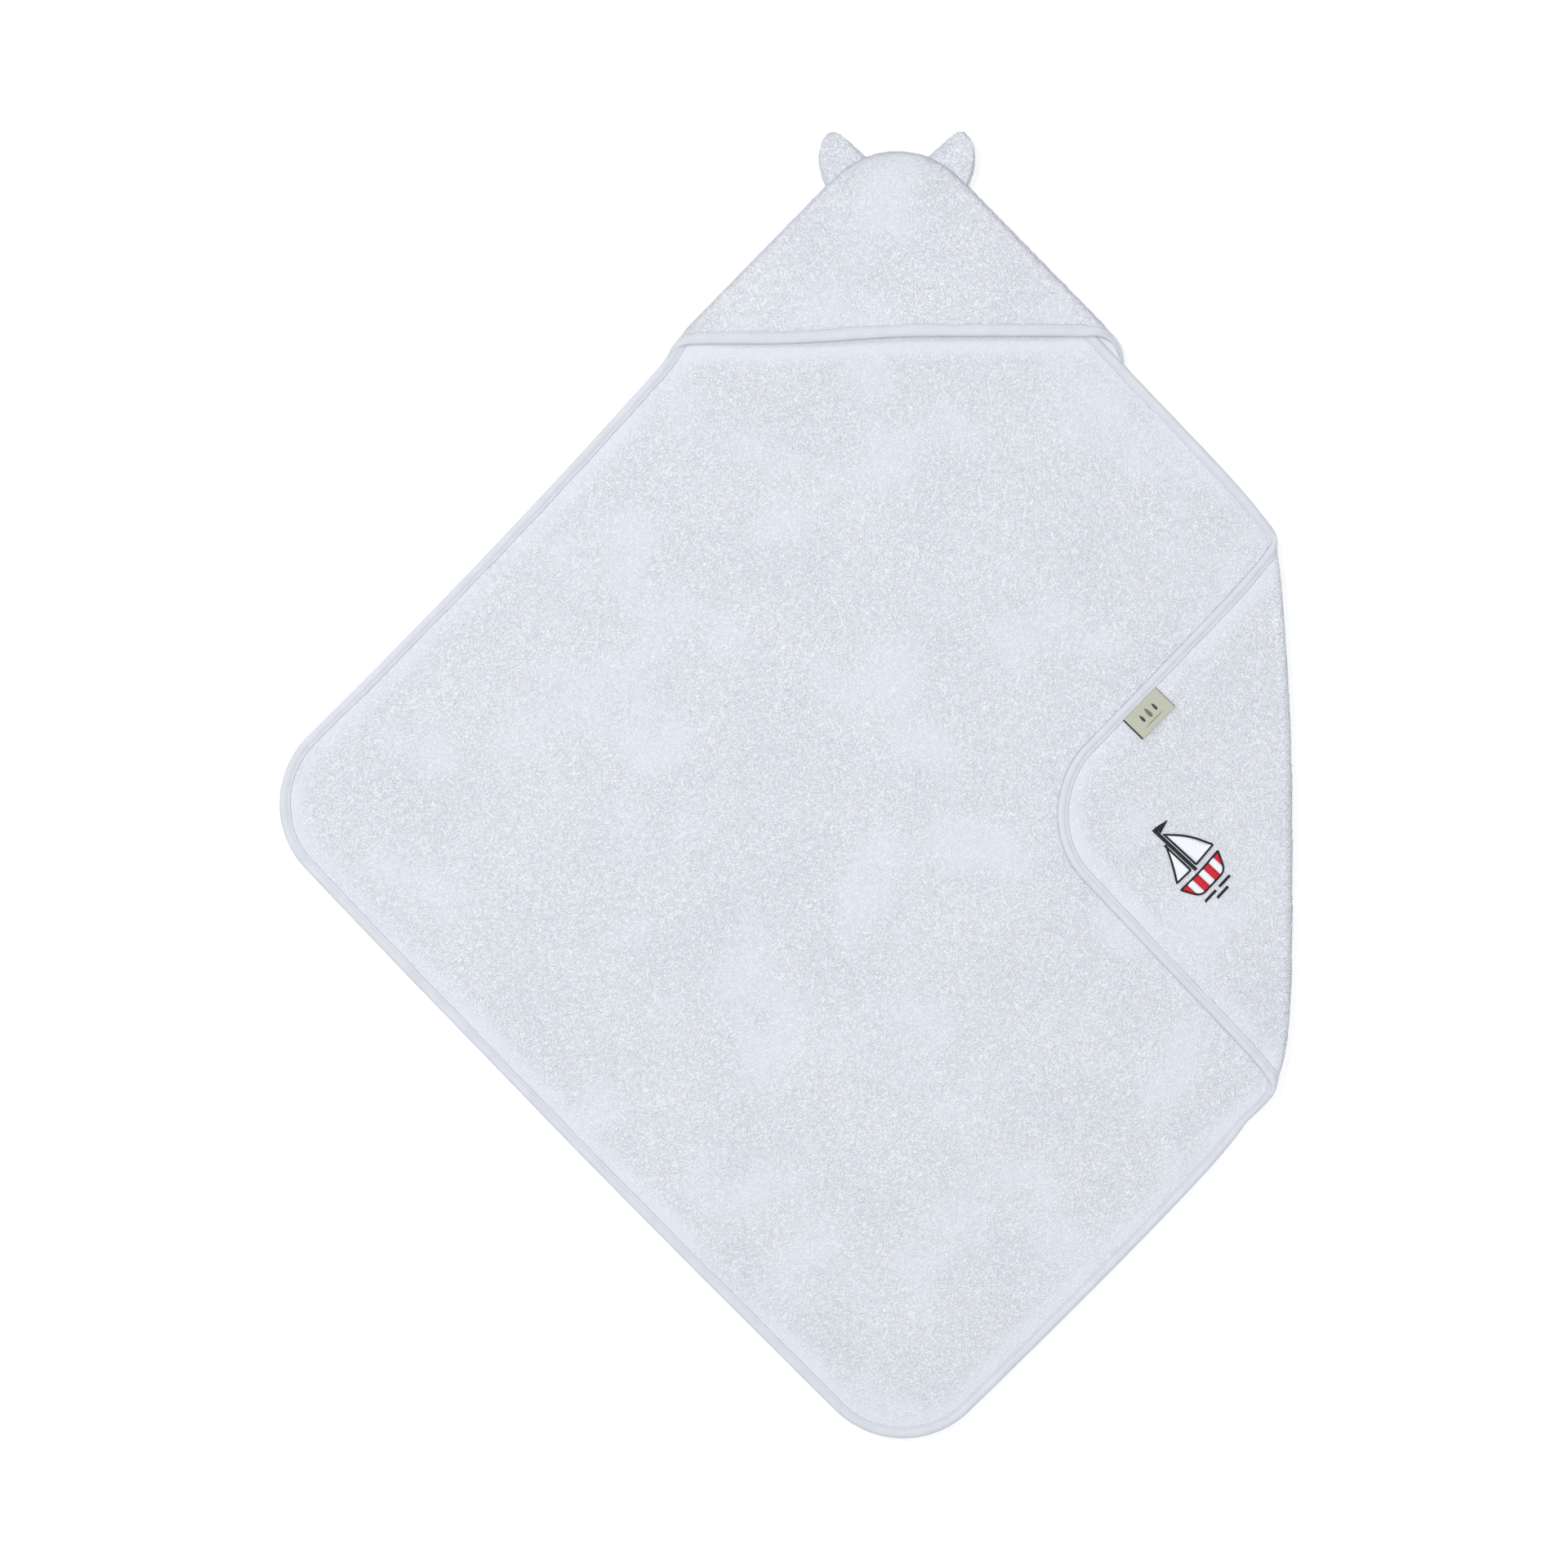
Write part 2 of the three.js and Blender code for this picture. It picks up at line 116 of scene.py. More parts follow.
def unit(vectors):
    """The same directions, each 1 long. A vector of no length stays as it is."""
    return vectors / (np.linalg.norm(vectors, axis=-1, keepdims=True) + 1e-12)


def far_along(line):
    """How far along a line each of its points lies."""
    return np.r_[0, np.cumsum(np.linalg.norm(np.diff(line, axis=0), axis=1))]


def pick(at, far, line):
    """Points between those of a line, at the places at, where its own points lie at the places far."""
    return stack(*[np.interp(at, far, column) for column in line.T])


def ease(x, low, high):
    """Rises smoothly from 0 at low to 1 at high."""
    t = np.clip((np.asarray(x, float) - low) / (high - low), 0, 1)
    return t * t * (3 - 2 * t)


def bell(x, width):
    """1 where x is 0, falling away to both sides."""
    return np.exp(-(x / width) ** 2)


def dome(x, width):
    """The rise of a quarter circle: from 0 where x is 0 to 1 where it is width or more."""
    return np.sqrt(1 - (1 - np.clip(x / width, 0, 1)) ** 2)


def noise(x, y, size, seed):
    """Smooth noise from -1 to 1, with features about size across."""
    lattice = np.random.default_rng(seed).uniform(-1, 1, (LATTICE, LATTICE))
    gx, gy = (g / size for g in rotate(x, y, 0.6 + seed))
    ix, iy = np.floor(gx).astype(int), np.floor(gy).astype(int)
    fx, fy = ease(gx - ix, 0, 1), ease(gy - iy, 0, 1)

    def row(j):
        near, far = (lattice[(ix + i) % LATTICE, (iy + j) % LATTICE] for i in (0, 1))
        return near * (1 - fx) + far * fx

    return row(0) * (1 - fy) + row(1) * fy


def rough(x, y, size, seed):
    """Noise with a second, finer layer."""
    return 0.7 * noise(x, y, size, seed) + 0.3 * noise(x, y, size * 0.43, seed + 7)


def pile_height(x, y, seed):
    """Uneven loops: clumps of a few millimetres."""
    return 0.26 * MM * noise(x, y, 5.2 * MM, seed) + 0.2 * MM * noise(x, y, 2.5 * MM, seed + 50)


# ------------ the towel's layout
def run(points, bows=None):
    """A dense line through points, at even steps. Each stretch can bow to its right."""
    stretches = []
    t = np.linspace(0, 1, 200)[:, None]
    for a, b, bow in zip(points, points[1:], bows or [0] * len(points)):
        way = b - a
        right = unit(np.array([way[1], -way[0]]))
        stretches.append(a + way * t + right * bow * 4 * t * (1 - t))
    line = np.concatenate(stretches)
    line = line[np.r_[True, np.linalg.norm(np.diff(line, axis=0), axis=1) > 1e-9]]
    far = far_along(line)
    line = pick(np.linspace(0, far[-1], DENSE), far, line)
    padded = np.pad(line, ((SMOOTH, SMOOTH), (0, 0)), "reflect", reflect_type="odd")
    window = np.ones(2 * SMOOTH + 1) / (2 * SMOOTH + 1)
    return stack(*[np.convolve(column, window, "valid") for column in padded.T])


UPPER_LEFT = run([LEFT, NECK_LEFT, SHOULDER_LEFT, PEAK], [4.5 * MM, 0, 0])
UPPER_RIGHT = run([PEAK, SHOULDER_RIGHT, NECK_RIGHT, RIGHT])
LOWER_LEFT = run([LEFT, BOTTOM], [4 * MM])
LOWER_RIGHT = run([BOTTOM, RIGHT], [6 * MM])


def on(line, t):
    """Points of a line, from t = 0 at its start to 1 at its end."""
    return pick(t, np.linspace(0, 1, len(line)), line)


def fill(s, t, left, right, bottom, top, corners):
    """Points filled in between four lines that share their ends, s across and t up. The corners come in
    rows, from the bottom."""
    a, b, c, d = corners
    between = (1 - s) * (1 - t) * a + s * (1 - t) * b + (1 - s) * t * c + s * t * d
    return (1 - s) * left + s * right + (1 - t) * bottom + t * top - between


def soft_square(u, v, radius):
    """Square coordinates from -1 to 1 with the corners drawn in to arcs, and the distance to the edge."""
    p, q = (np.clip((np.abs(w) - 1 + radius) / radius, 0, 1) for w in (u, v))
    corner = (p > 0) & (q > 0)
    pr, qr = p * np.sqrt(1 - q * q / 2), q * np.sqrt(1 - p * p / 2)
    ru, rv = (np.where(corner, np.sign(w) * (1 - radius + radius * r), w) for w, r in ((u, pr), (v, qr)))
    edge = np.where(corner, radius * (1 - np.hypot(pr, qr)), 1 - np.maximum(np.abs(u), np.abs(v)))
    return ru, rv, edge


def lay(u, v):
    """Where a point of the square lies before the corner is folded: x, y and distance to the edge.
    u runs from the upper left side to the lower right one, v from the lower left to the upper right."""
    radius = np.where((u < 0) & (v > 0), PEAK_RADIUS, CORNER_RADIUS) / (SIDE / 2)
    ru, rv, edge = soft_square(u, v, radius)
    s, t = (ru + 1) / 2, (rv + 1) / 2
    spot = fill(s[..., None], t[..., None], on(UPPER_LEFT, t), on(LOWER_RIGHT, t), on(LOWER_LEFT, s),
                on(UPPER_RIGHT, s), (LEFT, BOTTOM, PEAK, RIGHT))
    return spot[..., 0], spot[..., 1], edge * SIDE / 2


def drawn_in(y):
    """How far the fold draws in at a height y."""
    share = np.clip(np.abs(y - FOLD_MIDDLE_Y) / FOLD_HALF, 0, 1.08)
    upper, lower = UPPER_PULL * share ** UPPER_CURVE, LOWER_PULL * share ** LOWER_CURVE
    return LEAST_PULL + np.where(y > FOLD_MIDDLE_Y, upper, lower)


def widening(x):
    """How much wider the binding is where it turns round with the fold, at x on its outer edge."""
    before = (FOLD_X - x) * math.sqrt(2)
    short = FOLD_ROUND - np.clip(before, 1 * MM, FOLD_ROUND)
    return (FOLD_ROUND - np.sqrt(FOLD_ROUND ** 2 - short ** 2)) * ease(before, -8 * MM, 0)


def by_fold(x):
    """0 on the towel's flat part, rising to 1 where its folded corner's own cloth starts."""
    return ease(x, FOLD_X - SPLIT - 34 * MM, FOLD_X - SPLIT - 3 * MM)


def under_flap(x, y):
    """1 where the folded corner covers the towel, falling to 0 a little outside it."""
    inside = np.minimum(x - FLAP_X, FOLD_HALF - 12 * MM - np.abs(y - FLAP_Y) + (x - FOLD_X))
    return ease(inside, -35 * MM, 0)


def ripple(x, y):
    """How far the towel's cloth stands off the surface it lies on."""
    broad = 0.9 * rough(x, y, 170 * MM, 3) + 0.5 * rough(x, y, 75 * MM, 11)
    streak = noise(x * 0.35 + y * 0.2, y * 0.9 - x * 0.25, 26 * MM, 23)
    lift = np.maximum(0, broad + 0.35) * 1.1 * MM + 0.35 * MM * np.maximum(0, streak)
    return lift * (1 - 0.95 * under_flap(x, y))


def flap_ripple(x, y):
    """How far the folded corner stands above its lowest place."""
    return np.maximum(0, rough(x, y, 90 * MM, 31) + 0.35) * 0.9 * MM


PUCKER_INSET = 8 * MM  # how far in from the edge the puckers beside the binding stand highest
FREE_INSET = 60 * MM  # an inset that is clear of them


def edge_waves(x, y, edge):
    """Small puckers beside the binding, where sewing it on has drawn the cloth up."""
    near = bell(edge - PUCKER_INSET, 14 * MM) * (1 - ease(y, 330 * MM, 350 * MM))
    return 0.55 * MM * near * np.maximum(0, rough(x, y, 17 * MM, 51) + 0.25)


def place(x, y, h, edge):
    """A point of the laid cloth, h above its underside, brought over the fold where it is past it."""
    s = x - FOLD_X
    draw = drawn_in(y)
    turn = FOLD_TURN + TURN_PER_PULL * draw
    angle = np.clip(s / turn, -1, 1) * math.pi / 2
    px = FOLD_X - np.sqrt(s * s + draw * draw) + (FOLD_Z - h) * np.cos(angle)
    waves = edge_waves(x, y, edge)
    lift = (ripple(x, y) + waves) * (1 - by_fold(x))
    lift = lift + (flap_ripple(px, y) + waves) * ease(s, turn, turn + 30 * MM)
    pz = FOLD_Z + (FOLD_Z - h) * np.sin(angle) + lift
    apart = FOLD_APART + FOLD_APART_OUTSIDE * (1 - np.clip(h / CLOTH, 0, 1))
    pz = np.where((s > -SPLIT - 2 * MM) & (s < 0), np.minimum(pz, FOLD_Z - apart), pz)
    return stack(px, y, np.where(s >= 0, np.maximum(pz, FOLD_Z + apart), pz))


# ------------ meshes
LOWER_SHIFT = (0, 0, 0.05)  # from a sheet's upper side to its lower one in the cloth's texture
THREAD_SHIFT = 13.7 * MM  # and from each thread to the next


def add_object(name, data):
    """A new object in the scene."""
    thing = bpy.data.objects.new(name, data)
    bpy.context.scene.collection.objects.link(thing)
    return thing


def make(name, points, faces, material, cloth, pile=None):
    """A mesh object. cloth holds each point's place in the cloth, and pile how flat its loops lie and how
    much painted shade darkens them by a rolled edge or the fold's crease, both from 0 to 1."""
    mesh = bpy.data.meshes.new(name)
    mesh.from_pydata(points.tolist(), [], faces)
    mesh.validate()
    attribute = mesh.attributes.new("cloth", "FLOAT_VECTOR", "POINT")
    attribute.data.foreach_set("vector", cloth.astype(np.float32).ravel())
    if pile is not None:
        # calm: how flat the loops lie; rim: painted shade by rolled edges and the fold's crease
        for channel, share in zip(("calm", "rim"), pile.T):
            mesh.attributes.new(channel, "FLOAT", "POINT").data.foreach_set("value", share.astype(np.float32))
    mesh.polygons.foreach_set("use_smooth", np.ones(len(faces), bool))
    mesh.materials.append(material)
    mesh.update()
    return add_object(name, mesh)


def sharpen(mesh, corners):
    """The edges of a mesh's last faces are sharp, so that the faces beside them shade alone.
    corners is the number of corners those faces have together."""
    edge_of = np.empty(len(mesh.loops), int)
    mesh.loops.foreach_get("edge_index", edge_of)
    sharp = np.zeros(len(mesh.edges), bool)
    sharp[edge_of[-corners:]] = True
    mesh.attributes.new("sharp_edge", "BOOLEAN", "EDGE").data.foreach_set("value", sharp)


def two_sided(name, top, low, cloth, material, cells=None, pile=None):
    """A closed sheet from two grids of points, over all cells of the grid or those that are kept."""
    rows, columns = top.shape[:2]
    count = rows * columns
    index = np.arange(count).reshape(rows, columns)
    up = stack(index[:-1, :-1], index[1:, :-1], index[1:, 1:], index[:-1, 1:])
    up = up.reshape(-1, 4) if cells is None else up[cells]
    rim = {}
    for quad in up.tolist():
        for i, j in zip(quad, quad[1:] + quad[:1]):
            if not rim.pop((j, i), False):
                rim[(i, j)] = True
    walls = np.array([[j, i, i + count, j + count] for i, j in rim])
    faces = np.concatenate([up, up[:, ::-1] + count, walls])
    points = np.concatenate([top.reshape(-1, 3), low.reshape(-1, 3)])
    sides = np.concatenate([cloth.reshape(-1, 3), cloth.reshape(-1, 3) + LOWER_SHIFT])
    used = np.unique(faces)
    new = np.full(2 * count, -1)
    new[used] = np.arange(len(used))
    pile = None if pile is None else np.concatenate([pile.reshape(-1, 2)] * 2)[used]
    piece = make(name, points[used], new[faces].tolist(), material, sides[used], pile)
    sharpen(piece.data, walls.size)
    return piece


def sleeves(number, stations, count):
    """Faces of drawn solids with count points round each station: first their walls, then their ends."""
    index = np.arange(number * stations * count).reshape(number, stations, count)
    near, far = index[:, :-1], index[:, 1:]
    walls = stack(near, np.roll(near, -1, 2), np.roll(far, -1, 2), far).reshape(-1, 4)
    return walls.tolist() + index[:, 0, ::-1].tolist() + index[:, -1].tolist()


def swept(name, rings, cloth, material):
    """A solid drawn along a path: rings[j, i] is point i of its section at station j."""
    stations, count = rings.shape[:2]
    piece = make(name, rings.reshape(-1, 3), sleeves(1, stations, count), material, cloth.reshape(-1, 3))
    sharpen(piece.data, 2 * count)
    return piece


def tubes(name, paths, half_width, half_height, material, taper=0.35, sides=6):
    """Many short rounded threads in one mesh: paths[n, j] is point j of thread n."""
    number, stations = paths.shape[:2]
    along = unit(np.gradient(paths, axis=1))
    side = unit(np.cross(along, (0, 0, 1.0)))
    rise = np.cross(side, along)
    size = np.ones((stations, 1, 1))
    size[[0, -1]] = taper
    angle = np.arange(sides) * 2 * math.pi / sides
    ring = paths[:, :, None] + size * (side[:, :, None] * (half_width * np.cos(angle))[:, None]
                                       + rise[:, :, None] * (half_height * np.sin(angle))[:, None])
    far = np.cumsum(np.linalg.norm(np.diff(paths, axis=1, prepend=paths[:, :1]), axis=2), 1)
    start = np.arange(number)[:, None, None] * THREAD_SHIFT
    cloth = stack(far[:, :, None] + start, angle * half_width, 0.0)
    return make(name, ring.reshape(-1, 3), sleeves(number, stations, sides), material, cloth.reshape(-1, 3))


# ------------ materials
class Nodes:
    """A material's node tree, built with short calls."""

    def __init__(self, name):
        self.material = bpy.data.materials.new(name)
        self.material.use_nodes = True
        self.tree = self.material.node_tree
        self.shader = self.tree.nodes["Principled BSDF"]

    def put(self, node, socket, value):
        spot = node.inputs[socket]
        if isinstance(value, bpy.types.NodeSocket):
            self.tree.links.new(value, spot)
        else:
            spot.default_value = value

    def add(self, kind, *inputs, **named):
        """A node, with its first inputs in their order, and its settings and other inputs by name."""
        node = self.tree.nodes.new("ShaderNode" + kind)
        for key, value in named.items():
            if hasattr(node, key):
                setattr(node, key, value)
            else:
                self.put(node, key, value)
        for socket, value in enumerate(inputs):
            self.put(node, socket, value)
        return node

    def attribute(self, name, output="Fac"):
        return self.add("Attribute", attribute_name=name).outputs[output]

    def cloth(self):
        return self.attribute("cloth", "Vector")

    def math(self, operation, a, b=0.0):
        return self.add("Math", a, b, operation=operation).outputs[0]

    def total(self, *parts):
        """The sum of values, each given with its share."""
        terms = [self.math("MULTIPLY", value, share) for value, share in parts]
        value = terms[0]
        for term in terms[1:]:
            value = self.math("ADD", value, term)
        return value

    def spread(self, value, low, high, to_low=0.0, to_high=1.0):
        return self.add("MapRange", value, low, high, to_low, to_high).outputs[0]

    def mix(self, share, a, b):
        """The colours a and b mixed. Each is another node's, or red, green and blue."""
        node = self.add("Mix", share, data_type="RGBA")
        for socket, colour in ((6, a), (7, b)):
            self.put(node, socket, (*colour, 1) if isinstance(colour, tuple) else colour)
        return node.outputs[2]

    def texture(self, kind, vector, scale, output="Fac", **named):
        return self.add(kind, Vector=vector, Scale=scale, **named).outputs[output]

    def noise(self, vector, scale, detail=2.0, roughness=0.5):
        return self.texture("TexNoise", vector, scale, Detail=detail, Roughness=roughness)

    def wave(self, vector, scale, direction, **named):
        return self.texture("TexWave", vector, scale, bands_direction=direction, **named)

    def stretched(self, vector, scale, turn=0.0):
        return self.add("Mapping", Vector=vector, Scale=scale, Rotation=(0, 0, turn)).outputs[0]

    def bump(self, height, distance, strength=1.0):
        node = self.add("Bump", Strength=strength, Distance=distance, Height=height)
        self.put(self.shader, "Normal", node.outputs[0])

    def finish(self, **values):
        for key, value in values.items():
            self.put(self.shader, key.replace("_", " "), value)
        return self.material


def terry_material():
    """Uncut cotton loops, curling one to two millimetres across in loose rows, matte with a faint sheen."""
    n = Nodes("terry_loops")
    at, calm, rim = n.cloth(), n.attribute("calm"), n.attribute("rim")
    shift = n.texture("TexNoise", at, 420.0, "Color")
    moved = n.add("VectorMath", shift, (0.0016, 0.0016, 0.0), at, operation="MULTIPLY_ADD").outputs[0]
    loops = n.texture("TexVoronoi", n.stretched(moved, (1.0, 0.72, 1.0), 0.5), 700.0, "Distance")
    loop = n.spread(loops, 0.08, 0.62, 1.0, 0.0)
    curls = n.noise(n.stretched(moved, (1.0, 0.8, 1.0), 0.2), 520.0, 1.0)
    curl = n.spread(n.math("ABSOLUTE", n.math("SUBTRACT", curls, 0.5)), 0.0, 0.12, 1.0, 0.0)
    fibre = n.noise(at, 2600.0, 2.0, 0.6)
    clump = n.noise(at, 190.0, 3.0, 0.6)
    broad = n.math("SUBTRACT", n.noise(at, 13.0), 0.5)
    height = n.total((loop, 0.45), (curl, 0.5), (fibre, 0.3), (clump, 0.7))
    # Painted shade in the gaps between loops and curls and beside clumps, with tone that differs at random in
    # broad patches; less of it where the pile lies flat
    painted_loop_shade_and_tone = n.total((loop, 0.4), (curl, 0.42), (clump, 0.6), (broad, 0.32))
    even_out = n.math("MULTIPLY", n.math("SUBTRACT", 0.5, painted_loop_shade_and_tone), n.math("MULTIPLY", calm, 0.62))
    painted_loop_shade_and_tone = n.math("ADD", painted_loop_shade_and_tone, even_out)
    colour = n.mix(n.spread(painted_loop_shade_and_tone, 0.2, 1.05), (0.668, 0.694, 0.756), (0.910, 0.937, 0.990))
    colour = n.mix(n.math("MULTIPLY", calm, 0.7), colour, (0.672, 0.697, 0.754))
    # Painted shade, deeper towards rolled edges and the fold's crease
    colour = n.mix(n.math("MULTIPLY", rim, 0.68), colour, (0.50, 0.515, 0.585))
    n.bump(height, 0.0012, n.math("SUBTRACT", 0.9, n.math("MULTIPLY", calm, 0.45)))
    return n.finish(Base_Color=colour, Roughness=0.95, Sheen_Weight=0.15, Sheen_Roughness=0.5)


def tape_material():
    """Smooth folded jersey: very fine ribs along the tape."""
    n = Nodes("binding_jersey")
    at = n.cloth()
    rib = n.wave(at, 520.0, "Y", Distortion=1.2, Detail=1.0)
    knit = n.noise(n.stretched(at, (1.0, 2.4, 1.0)), 1500.0)
    n.bump(n.total((rib, 0.4), (knit, 0.6)), 0.00022, 0.7)
    colour = n.mix(n.spread(n.noise(at, 60.0), 0.3, 0.7), (0.602, 0.624, 0.684), (0.648, 0.670, 0.726))
    return n.finish(Base_Color=colour, Roughness=0.82, Sheen_Weight=0.1, Sheen_Roughness=0.4)


def thread_material(name, dark, light, roughness=0.42):
    """Twisted embroidery thread, with fine plies across its length and a soft gloss."""
    n = Nodes(name)
    at = n.cloth()
    n.bump(n.noise(n.stretched(at, (0.25, 1.0, 1.0)), 4200.0), 0.00012, 0.6)
    colour = n.mix(n.spread(n.noise(at, 700.0), 0.3, 0.7), dark, light)
    return n.finish(Base_Color=colour, Roughness=roughness, Specular_IOR_Level=0.3)


def ribbon_material():
    """Label ribbon: a fine, tight weave."""
    n = Nodes("label_weave")
    at = n.cloth()
    weave = n.math("MULTIPLY", n.wave(at, 900.0, "X"), n.wave(at, 700.0, "Y"))
    n.bump(weave, 0.00012, 0.7)
    colour = n.mix(n.spread(weave, 0.0, 0.8), (0.44, 0.45, 0.365), (0.55, 0.56, 0.46))
    return n.finish(Base_Color=colour, Roughness=0.6, Sheen_Weight=0.2)


def backing_material():
    """Non-woven stabiliser: matted short fibres."""
    n = Nodes("backing_fibres")
    mat = n.noise(n.stretched(n.cloth(), (1.0, 3.0, 1.0), 0.7), 900.0, 4.0, 0.7)
    n.bump(mat, 0.0003, 0.8)
    colour = n.mix(n.spread(mat, 0.3, 0.7), (0.72, 0.72, 0.71), (0.85, 0.85, 0.84))
    return n.finish(Base_Color=colour, Roughness=0.9)


TERRY = terry_material()
TAPE = tape_material()
SEWING = thread_material("sewing_thread", (0.58, 0.61, 0.66), (0.74, 0.76, 0.80), 0.6)
WHITE = thread_material("white_satin", (0.78, 0.80, 0.845), (0.89, 0.905, 0.94))
BLACK = thread_material("black_satin", (0.004, 0.004, 0.006), (0.016, 0.016, 0.02))
RED = thread_material("red_satin", (0.50, 0.004, 0.014), (0.74, 0.012, 0.036))
RIBBON = ribbon_material()
BACKING = backing_material()

# ------------ the towel's terry
CELLS = 236  # across the towel
FINE = 2  # steps of each cell in the folded corner


def calm_patches(x, y):
    """Places where the pile lies flatter."""
    return 0.5 * ease(rough(x, y, 48 * MM, 91), 0.0, 0.75)


def rim_shade(edge):
    """Painted shade over a rolled edge: 1 at the edge, fading within a few millimetres."""
    return bell(np.maximum(edge, 0), 3 * MM)


def terry_grid():
    """The whole towel on the fine grid: x as laid, upper and lower points, cloth coordinates, and pile with
    its painted shade.
    """
    steps = np.linspace(-1, 1, CELLS * FINE + 1)
    u, v = steps[:, None], steps
    in_hood = ease(lay(u, v)[1], MOUTH_LEFT_Y, MOUTH_LEFT_Y + HOOD_FROM)
    drawn = 1 - BOUND_IN / (SIDE / 2) * (1 - in_hood)
    x, y, edge = lay(u * drawn, v * drawn)
    inside = edge - widening(x + edge * math.sqrt(0.5))
    bound = (1 - ease(inside, 7.2 * MM, 11.5 * MM)) * (1 - in_hood)
    valley = 0.55 * MM * (1 - ease(inside, 8 * MM, 24 * MM)) * (1 - in_hood)
    pressed = 0.4 * MM * bound + valley
    pile = (1 - bound) * (1 - 0.4 * by_fold(x))
    thicker = (1 - bound) * (0.1 - 0.2 * by_fold(x)) * MM
    top = CLOTH + thicker + pile * pile_height(x, y, 41) - pressed
    low = pile * (0.6 * pile_height(x, y, 43) - 0.1 * MM) + pressed
    roll = in_hood * (1 - dome(edge, 2.6 * MM))
    upper = place(x, y, top - 0.9 * MM * roll, edge)
    lower = place(x, y, low + 1.3 * MM * roll, edge)
    opened = FOLD_X + np.where(x < FOLD_X, -1, 1) * np.hypot(x - FOLD_X, drawn_in(y))
    cloth = stack(opened - y, opened + y, 0) / math.sqrt(2)
    by_tape = (1 - ease(edge, 12 * MM, 28 * MM)) * (0.6 + 0.4 * noise(x, y, 35 * MM, 92))
    by_mouth = (1 - ease(mouth(x) - y, 6 * MM, 20 * MM)) * (1 - in_hood)
    calm = np.clip(np.maximum(np.maximum(by_tape, by_mouth), calm_patches(x, y)), 0, 1)
    # Painted shade: darker over the hood's rolled sides and along the fold's crease
    rim = np.maximum(rim_shade(edge) * in_hood, 0.6 * bell(x - FOLD_X - 1 * MM, 3.5 * MM))
    return x, upper, lower, cloth, stack(calm, rim)


def share_edge(points, part):
    """The fine points on the line between the two pieces go to the middle of the coarse edges there."""
    for grid, cells in ((points, part), (points.swapaxes(0, 1), part.T)):
        for i, j in zip(*np.nonzero(cells[:-1] != cells[1:])):
            a, b = (i + 1) * FINE, j * FINE
            grid[a, b + 1] = (grid[a, b] + grid[a, b + 2]) / 2


def cut_area(cells, step):
    """The area of the cells that are kept."""
    return float(cells.sum()) * step * step


def make_towel():
    """The towel's one cloth: the part that lies flat, with the hood's back, and the folded corner."""
    x, upper, lower, cloth, pile = terry_grid()
    corner = x[FINE // 2::FINE, FINE // 2::FINE] > FOLD_X - SPLIT
    for points in (upper, lower):
        share_edge(points, corner)
    main = two_sided("towel_terry", *(grid[::FINE, ::FINE] for grid in (upper, lower, cloth)), TERRY,
                     ~corner, pile[::FINE, ::FINE])
    fine_corner = corner.repeat(FINE, 0).repeat(FINE, 1)
    folded = two_sided("folded_corner_terry", upper, lower, cloth, TERRY, fine_corner, pile)
    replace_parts(main, "main_panel", "hood_back_panel")
    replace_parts(folded, "flap_panel", "fold_roll")
    return main, folded, cut_area(~corner, SIDE / CELLS), cut_area(corner, SIDE / CELLS)


# ------------ the outline and its binding
def walk(w):
    """Points of the towel's outline: from the hood's peak by the left, bottom and right corners and back."""
    sides = [w < 1, w < 2, w < 3]
    u = np.select(sides, [-1, 2 * w - 3, 1], 7 - 2 * w)
    v = np.select(sides, [1 - 2 * w, -1, 2 * w - 5], 1)
    return stack(*lay(u, v)[:2])


def even(points, step):
    """The same line with points at even steps, their inward normals, for an anticlockwise walk, and how far
    along each one lies."""
    far = far_along(points)
    at = np.linspace(0, far[-1], int(far[-1] / step) + 1)
    line = pick(at, far, points)
    way = unit(np.gradient(line, axis=0))
    return line, stack(-way[:, 1], way[:, 0]), at


def tape_section():
    """The binding's section: inset from its edge, and height over its middle plane. A round bead, the groove
    that its stitches pull in, and a small lip, on both faces, then back inside."""
    over = [(0, 0), (0.35, 0.85), (1.1, 1.5), (2.2, 1.95), (3.4, 2.1), (4.6, 1.95), (5.5, 1.6), (6.2, 1.15),
            (6.8, 1.05), (7.3, 1.35), (8.0, 1.42), (8.6, 1.0)]
    inside = [(8.1, -0.5), (5, -0.6), (2.1, -0.55), (1.2, 0), (2.1, 0.55), (5, 0.6), (8.1, 0.5)]
    return np.array(over[::-1] + [(inset, -level) for inset, level in over[1:]] + inside) * MM


SECTION = tape_section()
SWAY_FROM, LIP_FROM = 4 * MM, 7 * MM  # insets from which the section sways, and from which it is the lip
TAPE_STEP = 1.6 * MM
TAPE_INTO_HOOD = 54 * MM
BEAD = 0.5 * MM  # how far the bead stands over the terry's own thickness
STITCH_INSET, STITCH_LEVEL = 6.6 * MM, 1.15 * MM
STITCH_PITCH, STITCH_LENGTH = 3.0 * MM, 2.3 * MM


def tape_sway(at, inset):
    """How much wider or narrower the tape is than its even width, along it."""
    sway = 0.045 * noise(at, 3.1, 24 * MM, 61) + 0.02 * noise(at, 1.7, 7 * MM, 62)
    return 1 + sway * (inset > SWAY_FROM)


def tape_crown(at, inset):
    """Faint slanted puckers across the tape."""
    return 0.09 * MM * noise(at + 0.8 * inset, inset * 0.25, 5.5 * MM, 63)


